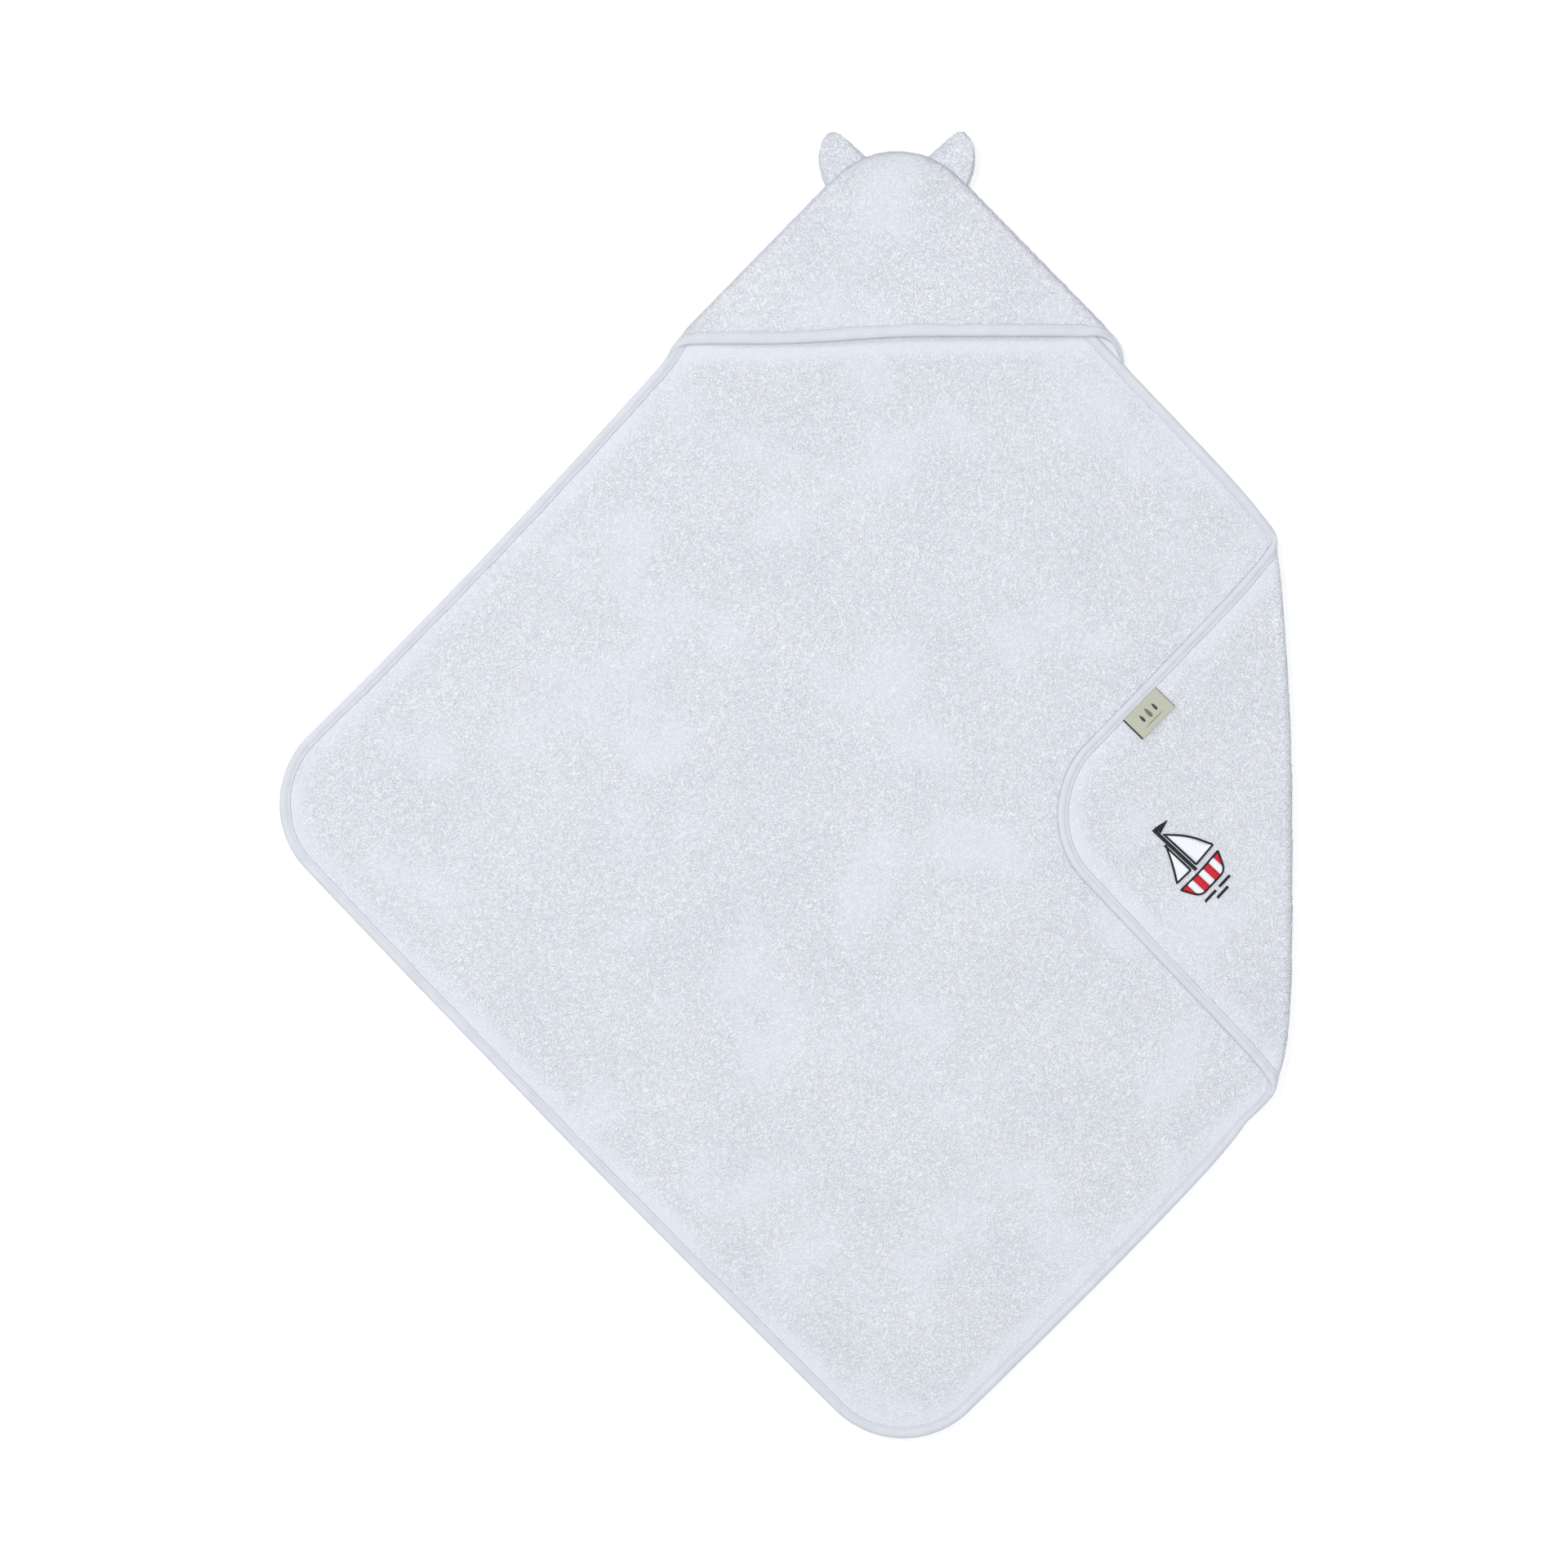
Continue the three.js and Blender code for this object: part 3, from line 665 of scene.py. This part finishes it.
def tape_points(line, inward, at, inset, level, lift):
    """Points of the binding at one inset and level of its section. The face that lies down is flat."""
    wide = inset * tape_sway(at, inset) * (1 + widening(line[:, 0]) / BINDING * (inset > SWAY_FROM))
    x, y = (line + inward * wide[:, None]).T
    over = ease(x, FOLD_X - 4 * MM, FOLD_X + 4 * MM)
    above = CLOTH / 2 + BEAD * (1 - over) * (1 - 0.7 * by_fold(x))
    below = CLOTH / 2 + BEAD * over
    height = CLOTH / 2 + np.clip(level, -below, above) + np.sign(level) * tape_crown(at, inset)
    return place(x, y, height + lift, PUCKER_INSET)


def make_tape(name, line, inward, at, lift):
    """A run of the binding."""
    rings = np.stack([tape_points(line, inward, at, inset, level, lift) for inset, level in SECTION], 1)
    return swept(name, rings, stack(at[:, None], far_along(SECTION), 0.0), TAPE)


def make_stitches(name, line, inward, at, lift):
    """Two rows of stitches, one on each face of the binding, with none where it turns round with the fold."""
    starts = np.arange(at[0] + STITCH_PITCH, at[-1] - STITCH_PITCH, STITCH_PITCH)
    starts = starts[np.abs(np.interp(starts, at, line[:, 0]) - FOLD_X) > 6 * MM]
    flat = (starts[:, None] + np.linspace(0, STITCH_LENGTH, 4)).ravel()
    near, turn, raised = pick(flat, at, line), pick(flat, at, inward), np.interp(flat, at, lift)
    rows = [tape_points(near, turn, flat, STITCH_INSET, level, raised).reshape(-1, 4, 3)
            for level in (STITCH_LEVEL, -STITCH_LEVEL)]
    return tubes(name, np.concatenate(rows), 0.24 * MM, 0.17 * MM, SEWING)


def make_bindings():
    """Tape and stitches in three runs: down the left to the fold, the folded corner, up into the hood."""
    line, inward, at = even(walk(np.linspace(0, 4, 9001)), TAPE_STEP)
    x, y = line.T
    low = np.argmin(y)
    left = np.nonzero(y[:low] > SHOULDER_LEFT[1] - 3 * MM)[0].max()
    past_split = low + np.nonzero(x[low:] > FOLD_X - SPLIT)[0]
    lower, upper = past_split.min(), past_split.max()
    right = upper + np.nonzero(y[upper:] < NECK_RIGHT[1] - 4 * MM)[0].max()
    made = []
    for name, first, last in (("left", left, lower), ("corner", lower, upper), ("right", upper, right)):
        run_line, run_in, run_at = (values[first:last + 1] for values in (line, inward, at))
        lift = np.zeros(len(run_at))
        if name == "right":
            extra = np.arange(1, int(TAPE_INTO_HOOD / TAPE_STEP)) * TAPE_STEP
            way = unit(run_line[-1] - run_line[-30])
            run_line = np.concatenate([run_line, run_line[-1] + way * extra[:, None]])
            run_in = np.concatenate([run_in, np.repeat(run_in[-1:], len(extra), 0)])
            run_at = np.r_[run_at, run_at[-1] + extra]
            under_hood = run_at[-len(extra)]
            lift = 0.8 * MM * ease(run_at, under_hood - 6 * MM, under_hood + 8 * MM)
        stretch = run_line, run_in, run_at, lift
        made.append((make_tape("binding_" + name, *stretch),
                     make_stitches("binding_stitches_" + name, *stretch)))
    return made


# ------------ the hood's front
HOOD_STEP, HOOD_REACH = 1.5 * MM, 0.66  # its grid's step, and how much of the square's sides it spans


def hood_edge(x, y):
    """Distance in from the hood's two sides."""
    left = np.interp(y, UPPER_LEFT[:, 1], UPPER_LEFT[:, 0])
    right = np.interp(y, UPPER_RIGHT[::-1, 1], UPPER_RIGHT[::-1, 0])
    return np.minimum(x - left, right - x) * math.sqrt(0.5)


def mouth(x):
    """The lower edge of the hood's opening."""
    return MOUTH_LEFT_Y + MOUTH_RISE * ease(x, -110 * MM, 20 * MM)


def fuzzed(x, y):
    """Points moved a little about, so that the loops break an outline up."""
    return x + 0.4 * MM * noise(x, y, 2.6 * MM, 95), y + 0.4 * MM * noise(x, y, 2.6 * MM, 96)


def hood_heights(x, y, edge):
    """Top and underside of the front panel, which rises from its rolled side seam to the crown."""
    e = np.maximum(edge, 0)
    bulge, inner = dome(e, 7.5 * MM), ease(e, 6 * MM, 26 * MM)
    swell = 0.7 * MM * rough(x, y, 70 * MM, 71) * ease(e, 5 * MM, 45 * MM)
    top = 4.0 * MM + 5.2 * MM * bulge + 2.0 * MM * ease(e, 5 * MM, 42 * MM) + swell
    low = 3.5 * MM + 0.8 * MM * ease(e, 2 * MM, 5 * MM) + 4.0 * MM * inner + swell
    sag = MOUTH_SAG * (1 - ease(y - mouth(x), 0, 34 * MM))
    return top - sag * bulge, low - sag * inner


def make_hood_front():
    """The front panel, on a grid of its own over the hood's corner of the square."""
    count = int(HOOD_REACH * SIDE / HOOD_STEP) + 1
    reach = np.linspace(-1, 2 * HOOD_REACH - 1, count)
    u, v = reach[:, None], -reach[::-1]
    x, y, edge = lay(u, v)
    back = y - mouth(x)
    top, low = hood_heights(x, y, edge)
    thin = 1 - ease(back, 9 * MM, 13 * MM)  # where the opening's binding holds it
    top = top + pile_height(x, y, 45) - 0.8 * MM * thin
    low = low - 0.5 * pile_height(x, y, 46) + 0.5 * MM * thin
    fx, fy = fuzzed(x, y)
    cells = (back[:-1, :-1] + back[1:, 1:]) / 2 > 3.2 * MM
    cloth = stack(u * SIDE / 2 + 0.9, v * SIDE / 2, 0)
    # Its pile: flatter patches, and painted shade over the rolled sides
    front = two_sided("hood_front_terry", stack(fx, fy, top), stack(fx, fy, np.minimum(low, top - 0.3 * MM)),
                      cloth, TERRY, cells, stack(calm_patches(x, y + 0.3), rim_shade(edge)))
    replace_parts(front, "hood_front_panel")
    return front, cut_area(cells, 2 * HOOD_REACH / (count - 1) * SIDE / 2)


def mouth_line():
    """The line of the opening's edge. Its ends turn down beside the neck."""
    points = [(-186.5, 354.5), (-183.5, 359.5), (-179.5, 363.6), (-174, 365.6)]
    points += [(x, mouth(x * MM) / MM) for x in range(-166, 146, 10)]
    points += [(150, 372.4), (157, 372.4), (163, 369.9), (167.5, 366.3), (170.8, 361.8), (172.9, 356.5),
               (174.5, 350.5)]
    return run(np.array(points) * MM)


OPENING_WIDER = 1.12  # the opening's binding against the others
OPENING_LIP = 0.45 * MM  # and how much higher its lip stands
SHOULDER_TOP = 4.2 * MM  # the height that its ends turn down to


def make_opening_tape():
    """The opening's binding. Its ends grow narrower and turn down over the hood's shoulders."""
    line, up, at = even(mouth_line(), 1.5 * MM)
    left_over = at[-1] - at
    width = OPENING_WIDER * np.minimum(0.2 + 0.8 * np.clip(at / (26 * MM), 0, 1),
                                       0.15 + 0.85 * np.clip(left_over / (45 * MM), 0, 1))
    raised = ease(at, 0, 26 * MM) * ease(left_over, 0, 30 * MM)
    rings = []
    for inset, level in SECTION:
        x, y = (line + up * (inset * tape_sway(at, inset) * width)[:, None]).T
        edge = hood_edge(x, y)
        top, _ = hood_heights(x, y, edge)
        top = SHOULDER_TOP + (top - SHOULDER_TOP) * raised - 1.0 * MM * ease(-edge, 0, 4 * MM)
        thin = 0.6 + 0.4 * np.minimum(raised, ease(edge, -1 * MM, 6 * MM))
        level = np.clip(level + OPENING_LIP * np.sign(level) * (inset > LIP_FROM), -CLOTH / 2, 1)
        z = top + 0.1 * MM - (CLOTH / 2 - level) * thin + np.sign(level) * tape_crown(at, inset)
        rings.append(stack(x, y, z))
    tape = swept("opening_binding", np.stack(rings, 1), stack(at[:, None], far_along(SECTION), 0.4), TAPE)
    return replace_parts(tape, "hood_opening_binding")


# ------------ ears
EAR_X = 40.2 * MM
EAR_Y = 505.6 * MM
EAR_TURN = math.radians(40.5)
# Its outline in millimetres, as two curves up to the tip, and how much of each curve belongs to the side
EAR_OUTER, OUTER_SIDE = ((-21.5, -5), (-20.5, 14), (-6, 31.5), (8, 31.6)), 0.78
EAR_INNER, INNER_SIDE = ((18.6, -5), (15.5, 20), (15, 31.6), (8, 31.6)), 0.55
EAR_WIDTH, EAR_HEIGHT = 40 * MM, 36 * MM
EAR_SEAM = 2.9 * MM  # height of the seam between its layers
ROOT_HALF = 4 * MM  # two points are taken this far to each side of its root


def bezier(corners, t):
    """Points of a cubic curve between the first corner and the last."""
    a, b, c, d = np.array(corners, float)
    t = t[:, None]
    return a * (1 - t) ** 3 + 3 * b * t * (1 - t) ** 2 + 3 * c * t * t * (1 - t) + d * t ** 3


def ear_place(side, x, y):
    """From an ear's own axes, with x towards the hood's middle and y outwards, to the frame."""
    px, py = rotate(-side * x, y, -side * EAR_TURN)
    return PEAK[0] + side * EAR_X + px, EAR_Y + py


def make_ear(side, name):
    """Both layers of an ear: soft rounded rims, and a hollow pressed into the front one."""
    up = np.linspace(0, 1, 34)
    outer, inner = bezier(EAR_OUTER, up * OUTER_SIDE), bezier(EAR_INNER, up * INNER_SIDE)
    tip = np.concatenate([bezier(EAR_OUTER, np.linspace(OUTER_SIDE, 1, 18)),
                          bezier(EAR_INNER, np.linspace(1, INNER_SIDE, 18))[1:]])
    base = stack(np.linspace(EAR_OUTER[0][0], EAR_INNER[0][0], len(tip)), EAR_OUTER[0][1])
    s = np.linspace(0, 1, len(tip))[:, None]
    grid = MM * fill(s[..., None], up[:, None], outer, inner, base[:, None], tip[:, None],
                     (base[0], base[-1], tip[0], tip[-1]))
    x, y = ear_place(side, grid[..., 0], grid[..., 1])
    rim = np.minimum(np.minimum(s, 1 - s) * EAR_WIDTH, (1 - up) * EAR_HEIGHT)
    soft = dome(rim, 4.6 * MM)
    root = 1 - ease(up * EAR_HEIGHT, 2 * MM, 11 * MM)
    middle, deep = (7.5 * MM, 2.3 * MM) if side > 0 else (-1 * MM, 1.2 * MM)
    hollow = deep * bell(grid[..., 0] - middle, 4.6 * MM)
    hollow = hollow * ease(up * EAR_HEIGHT, 4 * MM, 14 * MM) * (1 - ease(up, 0.45, 0.8))
    seam = EAR_SEAM - 0.2 * MM * root
    puff = (EAR_SEAM - 1.7 * MM * root) * soft
    front = seam + puff + 0.25 * MM + (pile_height(x, y, 47) - hollow) * soft
    back = np.maximum(seam - puff * 0.9 - 0.25 * MM - 0.4 * pile_height(x, y, 48) * soft, 0.1 * MM)
    cloth = stack(grid[..., 0] + 1.7 + side * 0.2, grid[..., 1], 0)
    x, y = fuzzed(x, y)
    layers = []
    for layer, high, low in (("front", front, seam + 0.15 * MM), ("back", seam - 0.15 * MM, back)):
        node = name + "_ear_" + layer
        # Painted shade over the ear's rounded rim
        piece = two_sided(node + "_terry", stack(x, y, high), stack(x, y, low), cloth, TERRY,
                          pile=stack(0, rim_shade(rim)))
        layers.append(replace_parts(piece, node))
    return layers


# ------------ the seam tape inside the hood
# Its section in millimetres: inset, how far under the front panel, and how far round the section
SEAM_SECTION = ((5.4, 0.15, 0), (9, 0.1, 3.6), (13.4, 0.15, 8),
                (13.6, 0.5, 8.4), (9, 0.7, 13), (5.2, 0.5, 16.8))


def make_seam_tape():
    """The tape that covers the hood's side seam, inside, under the front panel's edge."""
    line, inward, at = even(walk(np.r_[np.linspace(3.2, 4, 800), np.linspace(0, 0.8, 800)[1:]]), 3 * MM)
    inside = line[:, 1] > MOUTH_LEFT_Y + HOOD_FROM
    line, inward, at = line[inside], inward[inside], at[inside]
    rings = []
    for inset, drop, _ in SEAM_SECTION:
        x, y = (line + inward * inset * MM).T
        _, low = hood_heights(x, y, inset * MM)
        rings.append(stack(x, y, low - drop * MM))
    around = np.array(SEAM_SECTION)[:, 2] * MM
    tape = swept("seam_binding", np.stack(rings, 1), stack(at[:, None], around, 0.7), TAPE)
    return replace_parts(tape, "hood_seam_binding")


# ------------ label
TIP = np.array([2 * FOLD_X - RIGHT[0], RIGHT[1]])
EDGE_WAY = -np.array(JOINTS["label_fold"]["axis"][:2])  # up along the flap's bound edge, from its tip
INTO_FLAP = np.array([EDGE_WAY[1], -EDGE_WAY[0]])
LABEL_WIDTH = 37 * MM
LABEL_LENGTH = 21.3 * MM
LABEL_START = 109.5 * MM
PLY = 0.4 * MM
LABEL_GAP = 0.75 * MM  # half the height of the folded ribbon
LABEL_BEND = LABEL_LENGTH - 0.8 * MM
MARK_Z = 2 * LABEL_GAP + 0.06 * MM  # height of the threads woven into its face


def flap_height(x, y):
    """Height of the folded corner's upper face."""
    s = np.sqrt(np.maximum((FOLD_X - x) ** 2 - drawn_in(y) ** 2, 0))
    return place(FOLD_X + s, y, 0.0, FREE_INSET)[..., 2]


def label_points(a, b, z):
    """A point of the label: a along the flap's edge, b into the flap, z above the flap."""
    a, b, z = np.broadcast_arrays(a, b, z)
    spot = TIP + EDGE_WAY * (LABEL_START + a)[..., None] + INTO_FLAP * (BINDING + b)[..., None]
    x, y = spot[..., 0], spot[..., 1]
    free = np.clip(b / LABEL_LENGTH, 0, 1)
    curl = 0.9 * MM * free ** 2 * (0.55 + 0.45 * np.cos(a / LABEL_WIDTH * 2 * math.pi * 0.8))
    return stack(x, y, flap_height(x, y) + 0.35 * MM + curl + z)


def ribbon_side(radius, way):
    """One side of the folded ribbon's section: along one ply, round the bend and back along the other."""
    reach = np.linspace(-1.2 * MM, LABEL_BEND, 12)
    turn = np.linspace(-math.pi / 2, math.pi / 2, 9)[1:] * way
    bend = [(LABEL_BEND + radius * math.cos(t), LABEL_GAP + radius * math.sin(t)) for t in turn]
    back = [(b, LABEL_GAP + way * radius) for b in reach[-2::-1]]
    return [(b, LABEL_GAP - way * radius) for b in reach] + bend + back


def make_label():
    """A ribbon folded in half, its raw ends under the binding's edge, with selvedge threads and a mark."""
    section = np.array(ribbon_side(LABEL_GAP, 1) + ribbon_side(LABEL_GAP - PLY, -1))
    a = np.linspace(0, LABEL_WIDTH, 30)[:, None]
    rings, cloth = label_points(a, section[:, 0], section[:, 1]), stack(a, far_along(section), 0.0)
    ribbon = swept("label_ribbon", rings[:, ::-1], cloth[:, ::-1], RIBBON)
    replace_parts(ribbon, "side_label")
    b = np.linspace(-0.8 * MM, LABEL_LENGTH - 0.4 * MM, 16)
    top = 2 * LABEL_GAP + 0.05 * MM - 0.5 * LABEL_GAP * np.clip((b - LABEL_BEND) / LABEL_GAP, 0, 1) ** 2
    threads = [tubes(name, label_points(a, b, top)[None], half_width * MM, half_height * MM, BLACK, taper=0.7)
               for name, a, half_width, half_height in (
                   ("label_edge_thread", 0.3 * MM, 0.65, 0.25),
                   ("label_far_thread", LABEL_WIDTH - 0.25 * MM, 0.2, 0.15))]
    mark = []
    for k, size in enumerate((1.1, 1.5, 1.1)):
        middle = LABEL_WIDTH * 0.5 + (k - 1) * 6.8 * MM
        for step in np.arange(-1, 1, 0.13):
            t = (step + 1) / 2
            half = size * 2.85 * MM * math.sqrt(max(t * (1 - t), 0)) * (0.5 + 0.75 * t)
            row = LABEL_LENGTH * 0.42 + step * size * 3.1 * MM
            mark.append(label_points(middle + np.linspace(-half, half, 4), row, MARK_Z))
    mark.append(label_points(LABEL_WIDTH * np.linspace(0.24, 0.76, 4), LABEL_LENGTH * 0.76, MARK_Z))
    threads.append(tubes("label_woven_drops", np.array(mark), 0.2 * MM, 0.12 * MM, BLACK))
    return ribbon, threads


# ------------ embroidery: a toy boat
MOTIF_AT = np.array([228, -46.4]) * MM
MOTIF_TURN = math.radians(47)
MOTIF_UNIT = 1.25 * MM
SATIN_PITCH = 0.46 * MM
SATIN_HALF, SATIN_HALF_DARK = 0.27 * MM, 0.29 * MM  # half the width of a stitch
# Shapes in units: corners as x, y, and in the first three how far from the corner its rounding starts
HULL = [(-11.5, -21, 5), (11.5, -21, 5), (18.5, -7.5, 2.5), (0, -8.4, 9), (-18.5, -7.5, 2.5)]
MAIN_SAIL = [(0.6, -5, 2), (19, -4, 2), (12.3, 12.3, 14), (0.6, 25.5, 2)]
JIB = [(-17, -4, 2), (-2.8, -5, 2), (-2.8, 20, 2), (-9.2, 7.6, 10)]
MAST = [(-2.3, -6.6), (0.1, -6.6), (0.1, 31), (-2.3, 31)]
PENNANT = [(0.2, 25.7), (10, 28.4), (0.2, 31.2)]
WAVES = [(-12, -25.5), (1, -25.5), (-5, -29.5)]
WAVE_LONG, WAVE_HIGH = 10, 1.8
STRIPES, STRIPES_HALF = 7, 17 * MOTIF_UNIT


def loop_of(corners, inset):
    """A closed line round rounded corners, drawn in evenly, and its inward normals."""
    points = []
    for k, (x, y, cut) in enumerate(corners):
        here = np.array([x, y], float)
        a, b = (here + unit(side) * min(cut, np.linalg.norm(side) * 0.48)
                for side in (np.array(corners[(k + d) % len(corners)][:2]) - here for d in (-1, 1)))
        t = np.linspace(0, 1, 10)[:, None]
        points.append(a * (1 - t) ** 2 + 2 * here * t * (1 - t) + b * t ** 2)
    points.append(points[0][:1])
    line, inward, _ = even(np.concatenate(points) * MOTIF_UNIT, SATIN_PITCH)
    return line + inward * inset, inward


def motif_points(spots, z):
    """Points of the motif, given in its own axes, on the flap's upper face."""
    x, y = (at + turned for at, turned in zip(MOTIF_AT, rotate(spots[..., 0], spots[..., 1], MOTIF_TURN)))
    return stack(x, y, flap_height(x, y) + z)


def chords(line, angle, between=(-1.0, 1.0)):
    """Straight stitches across a convex closed line, kept between two places along their own direction."""
    along, across = rotate(line[:, 0], line[:, 1], -angle)
    found = []
    for level in np.arange(across.min() + SATIN_PITCH / 2, across.max(), SATIN_PITCH):
        sides = across - level
        cut = np.nonzero(sides[:-1] * sides[1:] < 0)[0]
        if len(cut) < 2:
            continue
        ends = along[cut] + sides[cut] / (sides[cut] - sides[cut + 1]) * (along[cut + 1] - along[cut])
        low, high = max(ends.min(), between[0]), min(ends.max(), between[1])
        if high - low > 0.5 * MM:
            found.append(stack(*rotate(np.linspace(low, high, 6), level, angle)))
    return np.array(found)


def satin(node, spots, material, z=0.55 * MM, half=SATIN_HALF):
    """A field of satin stitches in place of a node of the motif."""
    rise = z + 0.16 * MM * np.sin(math.pi * np.linspace(0, 1, spots.shape[1]))
    piece = tubes(node + "_satin", motif_points(spots, rise), half, 0.2 * MM, material, 0.6)
    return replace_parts(piece, node)


def border(node, corners):
    """A line of black satin stitches laid across the edge of a shape, leaning a little."""
    line, inward = loop_of(corners, 0.95 * MM)
    reach = inward * 0.85 * MM + stack(inward[:, 1], -inward[:, 0]) * 0.35 * MM
    spots = line[:, None] + reach[:, None] * np.linspace(-1, 1, 4)[:, None]
    return satin(node, spots, BLACK, 0.75 * MM, SATIN_HALF_DARK)


def make_motif():
    """Satin-stitched boat: striped hull, two sails, mast, pennant and three waves."""
    pieces = []
    for node, corners, angle in (("motif_main_sail", MAIN_SAIL, 0.35), ("motif_jib", JIB, -0.4)):
        pieces.append(satin(node + "_fill", chords(loop_of(corners, 1.0 * MM)[0], angle), WHITE))
        pieces.append(border(node + "_edge", corners))
    hull, _ = loop_of(HULL, 1.0 * MM)
    for k in range(STRIPES):
        start, end = (-STRIPES_HALF + n * 2 * STRIPES_HALF / STRIPES for n in (k, k + 1))
        colour, material = ("white", WHITE) if k % 2 else ("red", RED)
        rows = chords(hull, 0.0, (start - 0.1 * MM, end + 0.1 * MM))
        pieces.append(satin(f"motif_hull_{colour}_{k // 2 + 1}", rows, material))
    pieces.append(border("motif_hull_edge", HULL))
    dark = [("motif_mast", MAST, 0.15, 0.85), ("motif_pennant", PENNANT, 1.5, 0.7)]
    for k, (x, y) in enumerate(WAVES):
        wave = [(x, y), (x + WAVE_LONG, y), (x + WAVE_LONG, y + WAVE_HIGH), (x, y + WAVE_HIGH)]
        dark.append((f"motif_wave_{k + 1}", wave, 1.35, 0.6))
    for node, corners, angle, z in dark:
        rows = chords(np.array(corners + corners[:1]) * MOTIF_UNIT, angle)
        pieces.append(satin(node, rows, BLACK, z * MM, SATIN_HALF_DARK))
    return pieces


BACKING_WIDE, BACKING_LONG = 24 * MOTIF_UNIT, 34 * MOTIF_UNIT  # half its width and half its length


def make_backing():
    """The stabiliser behind the embroidery, and the white under-threads that show on it."""
    steps = np.linspace(-1, 1, 41)
    ru, rv, edge = soft_square(steps[:, None], steps, 0.42)
    across, up = ru * BACKING_WIDE, rv * BACKING_LONG
    wave = 0.12 * MM * np.abs(noise(across, up, 4 * MM, 81)) * (edge > 0)
    high, low = (motif_points(stack(across, up), -CLOTH - depth) for depth in (0.2 * MM, 0.42 * MM + wave))
    fleece = two_sided("embroidery_backing_fleece", high, low, stack(across, up, 0), BACKING)
    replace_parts(fleece, "embroidery_backing")
    rows = []
    for corners in (HULL, MAIN_SAIL, JIB):
        line, inward = loop_of(corners, 0.85 * MM)
        rows.append(line[:, None] + inward[:, None] * np.linspace(-0.6, 0.6, 4)[:, None] * MM)
    under = tubes("embroidery_under_threads", motif_points(np.concatenate(rows), -CLOTH - 0.55 * MM),
                  0.2 * MM, 0.12 * MM, WHITE)
    return fleece, under


# ------------ camera, lights and floor
CAMERA_AT = (-0.0954, 0.0154, 2.5)
LENS, SENSOR = 71.8, 36
FLOOR_HALF, FLOOR_Z = 6.0, -0.4 * MM
WORLD_COLOUR, WORLD_STRENGTH = (0.97, 0.98, 1.0, 1), 0.4
LIGHTS = (("overhead", (-0.05, -0.12, 3.4), 2.0, 81.0), ("side", (-2.6, 2.0, 2.2), 1.4, 42.0))


def make_studio():
    """A pale floor under soft overhead light, and a camera straight above."""
    scene = bpy.context.scene
    floor_mesh = bpy.data.meshes.new("floor")
    corners = [(x * FLOOR_HALF, y * FLOOR_HALF, FLOOR_Z) for x, y in ((-1, -1), (1, -1), (1, 1), (-1, 1))]
    floor_mesh.from_pydata(corners, [], [(0, 1, 2, 3)])
    add_object("floor", floor_mesh)
    paint = Nodes("floor_paper")
    grain = paint.noise(paint.add("TexCoord").outputs["Object"], 90.0)
    colour = paint.mix(grain, (0.93, 0.93, 0.93), (0.96, 0.96, 0.96))
    floor_mesh.materials.append(paint.finish(Base_Color=colour, Roughness=0.9))

    lens = bpy.data.cameras.new("camera")
    lens.lens = LENS
    lens.sensor_width = SENSOR
    scene.camera = add_object("camera", lens)
    scene.camera.location = CAMERA_AT

    world = bpy.data.worlds.new("studio")
    world.use_nodes = True
    sky = world.node_tree.nodes["Background"].inputs
    sky["Color"].default_value = WORLD_COLOUR
    sky["Strength"].default_value = WORLD_STRENGTH
    scene.world = world
    for name, spot, size, power in LIGHTS:
        light = bpy.data.lights.new(name, "AREA")
        light.shape = "DISK"
        light.size = size
        light.energy = power
        lamp = add_object(name, light)
        lamp.location = spot
        lamp.rotation_euler = (-Vector(spot)).to_track_quat("-Z", "Y").to_euler()
    scene.view_settings.view_transform = "Standard"


# ------------ assembly
make_studio()
towel, folded, towel_area, corner_area = make_towel()
left, corner, right = make_bindings()
front, front_area = make_hood_front()
opening = make_opening_tape()
seam = make_seam_tape()

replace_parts(left[0], "edge_binding_left", "neck_binding_left")
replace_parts(right[0], "edge_binding_right", "neck_binding_right")
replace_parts(corner[0], "flap_binding", "fold_binding_lower", "fold_binding_upper")

for piece in (towel, opening, *left, *right):
    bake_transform(piece)
for piece in (folded, *corner):
    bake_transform(piece)
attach(front, "hood")
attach(seam, "hood")

for side, name in ((-1, "left"), (1, "right")):
    root, beyond = (Vector((*ear_place(side, 0.0, y), 0)) for y in (-ROOT_HALF, ROOT_HALF))
    for layer in make_ear(side, name):
        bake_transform(layer)
        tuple(root)
        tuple(beyond)

ribbon, label_threads = make_label()
for piece in (ribbon, *label_threads):
    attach(piece, "label")

motif = make_motif()
backing, under_threads = make_backing()
for piece in (*motif, backing, under_threads):
    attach(piece, "corner_flap")

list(left)
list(right)
list(corner)
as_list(label_threads)
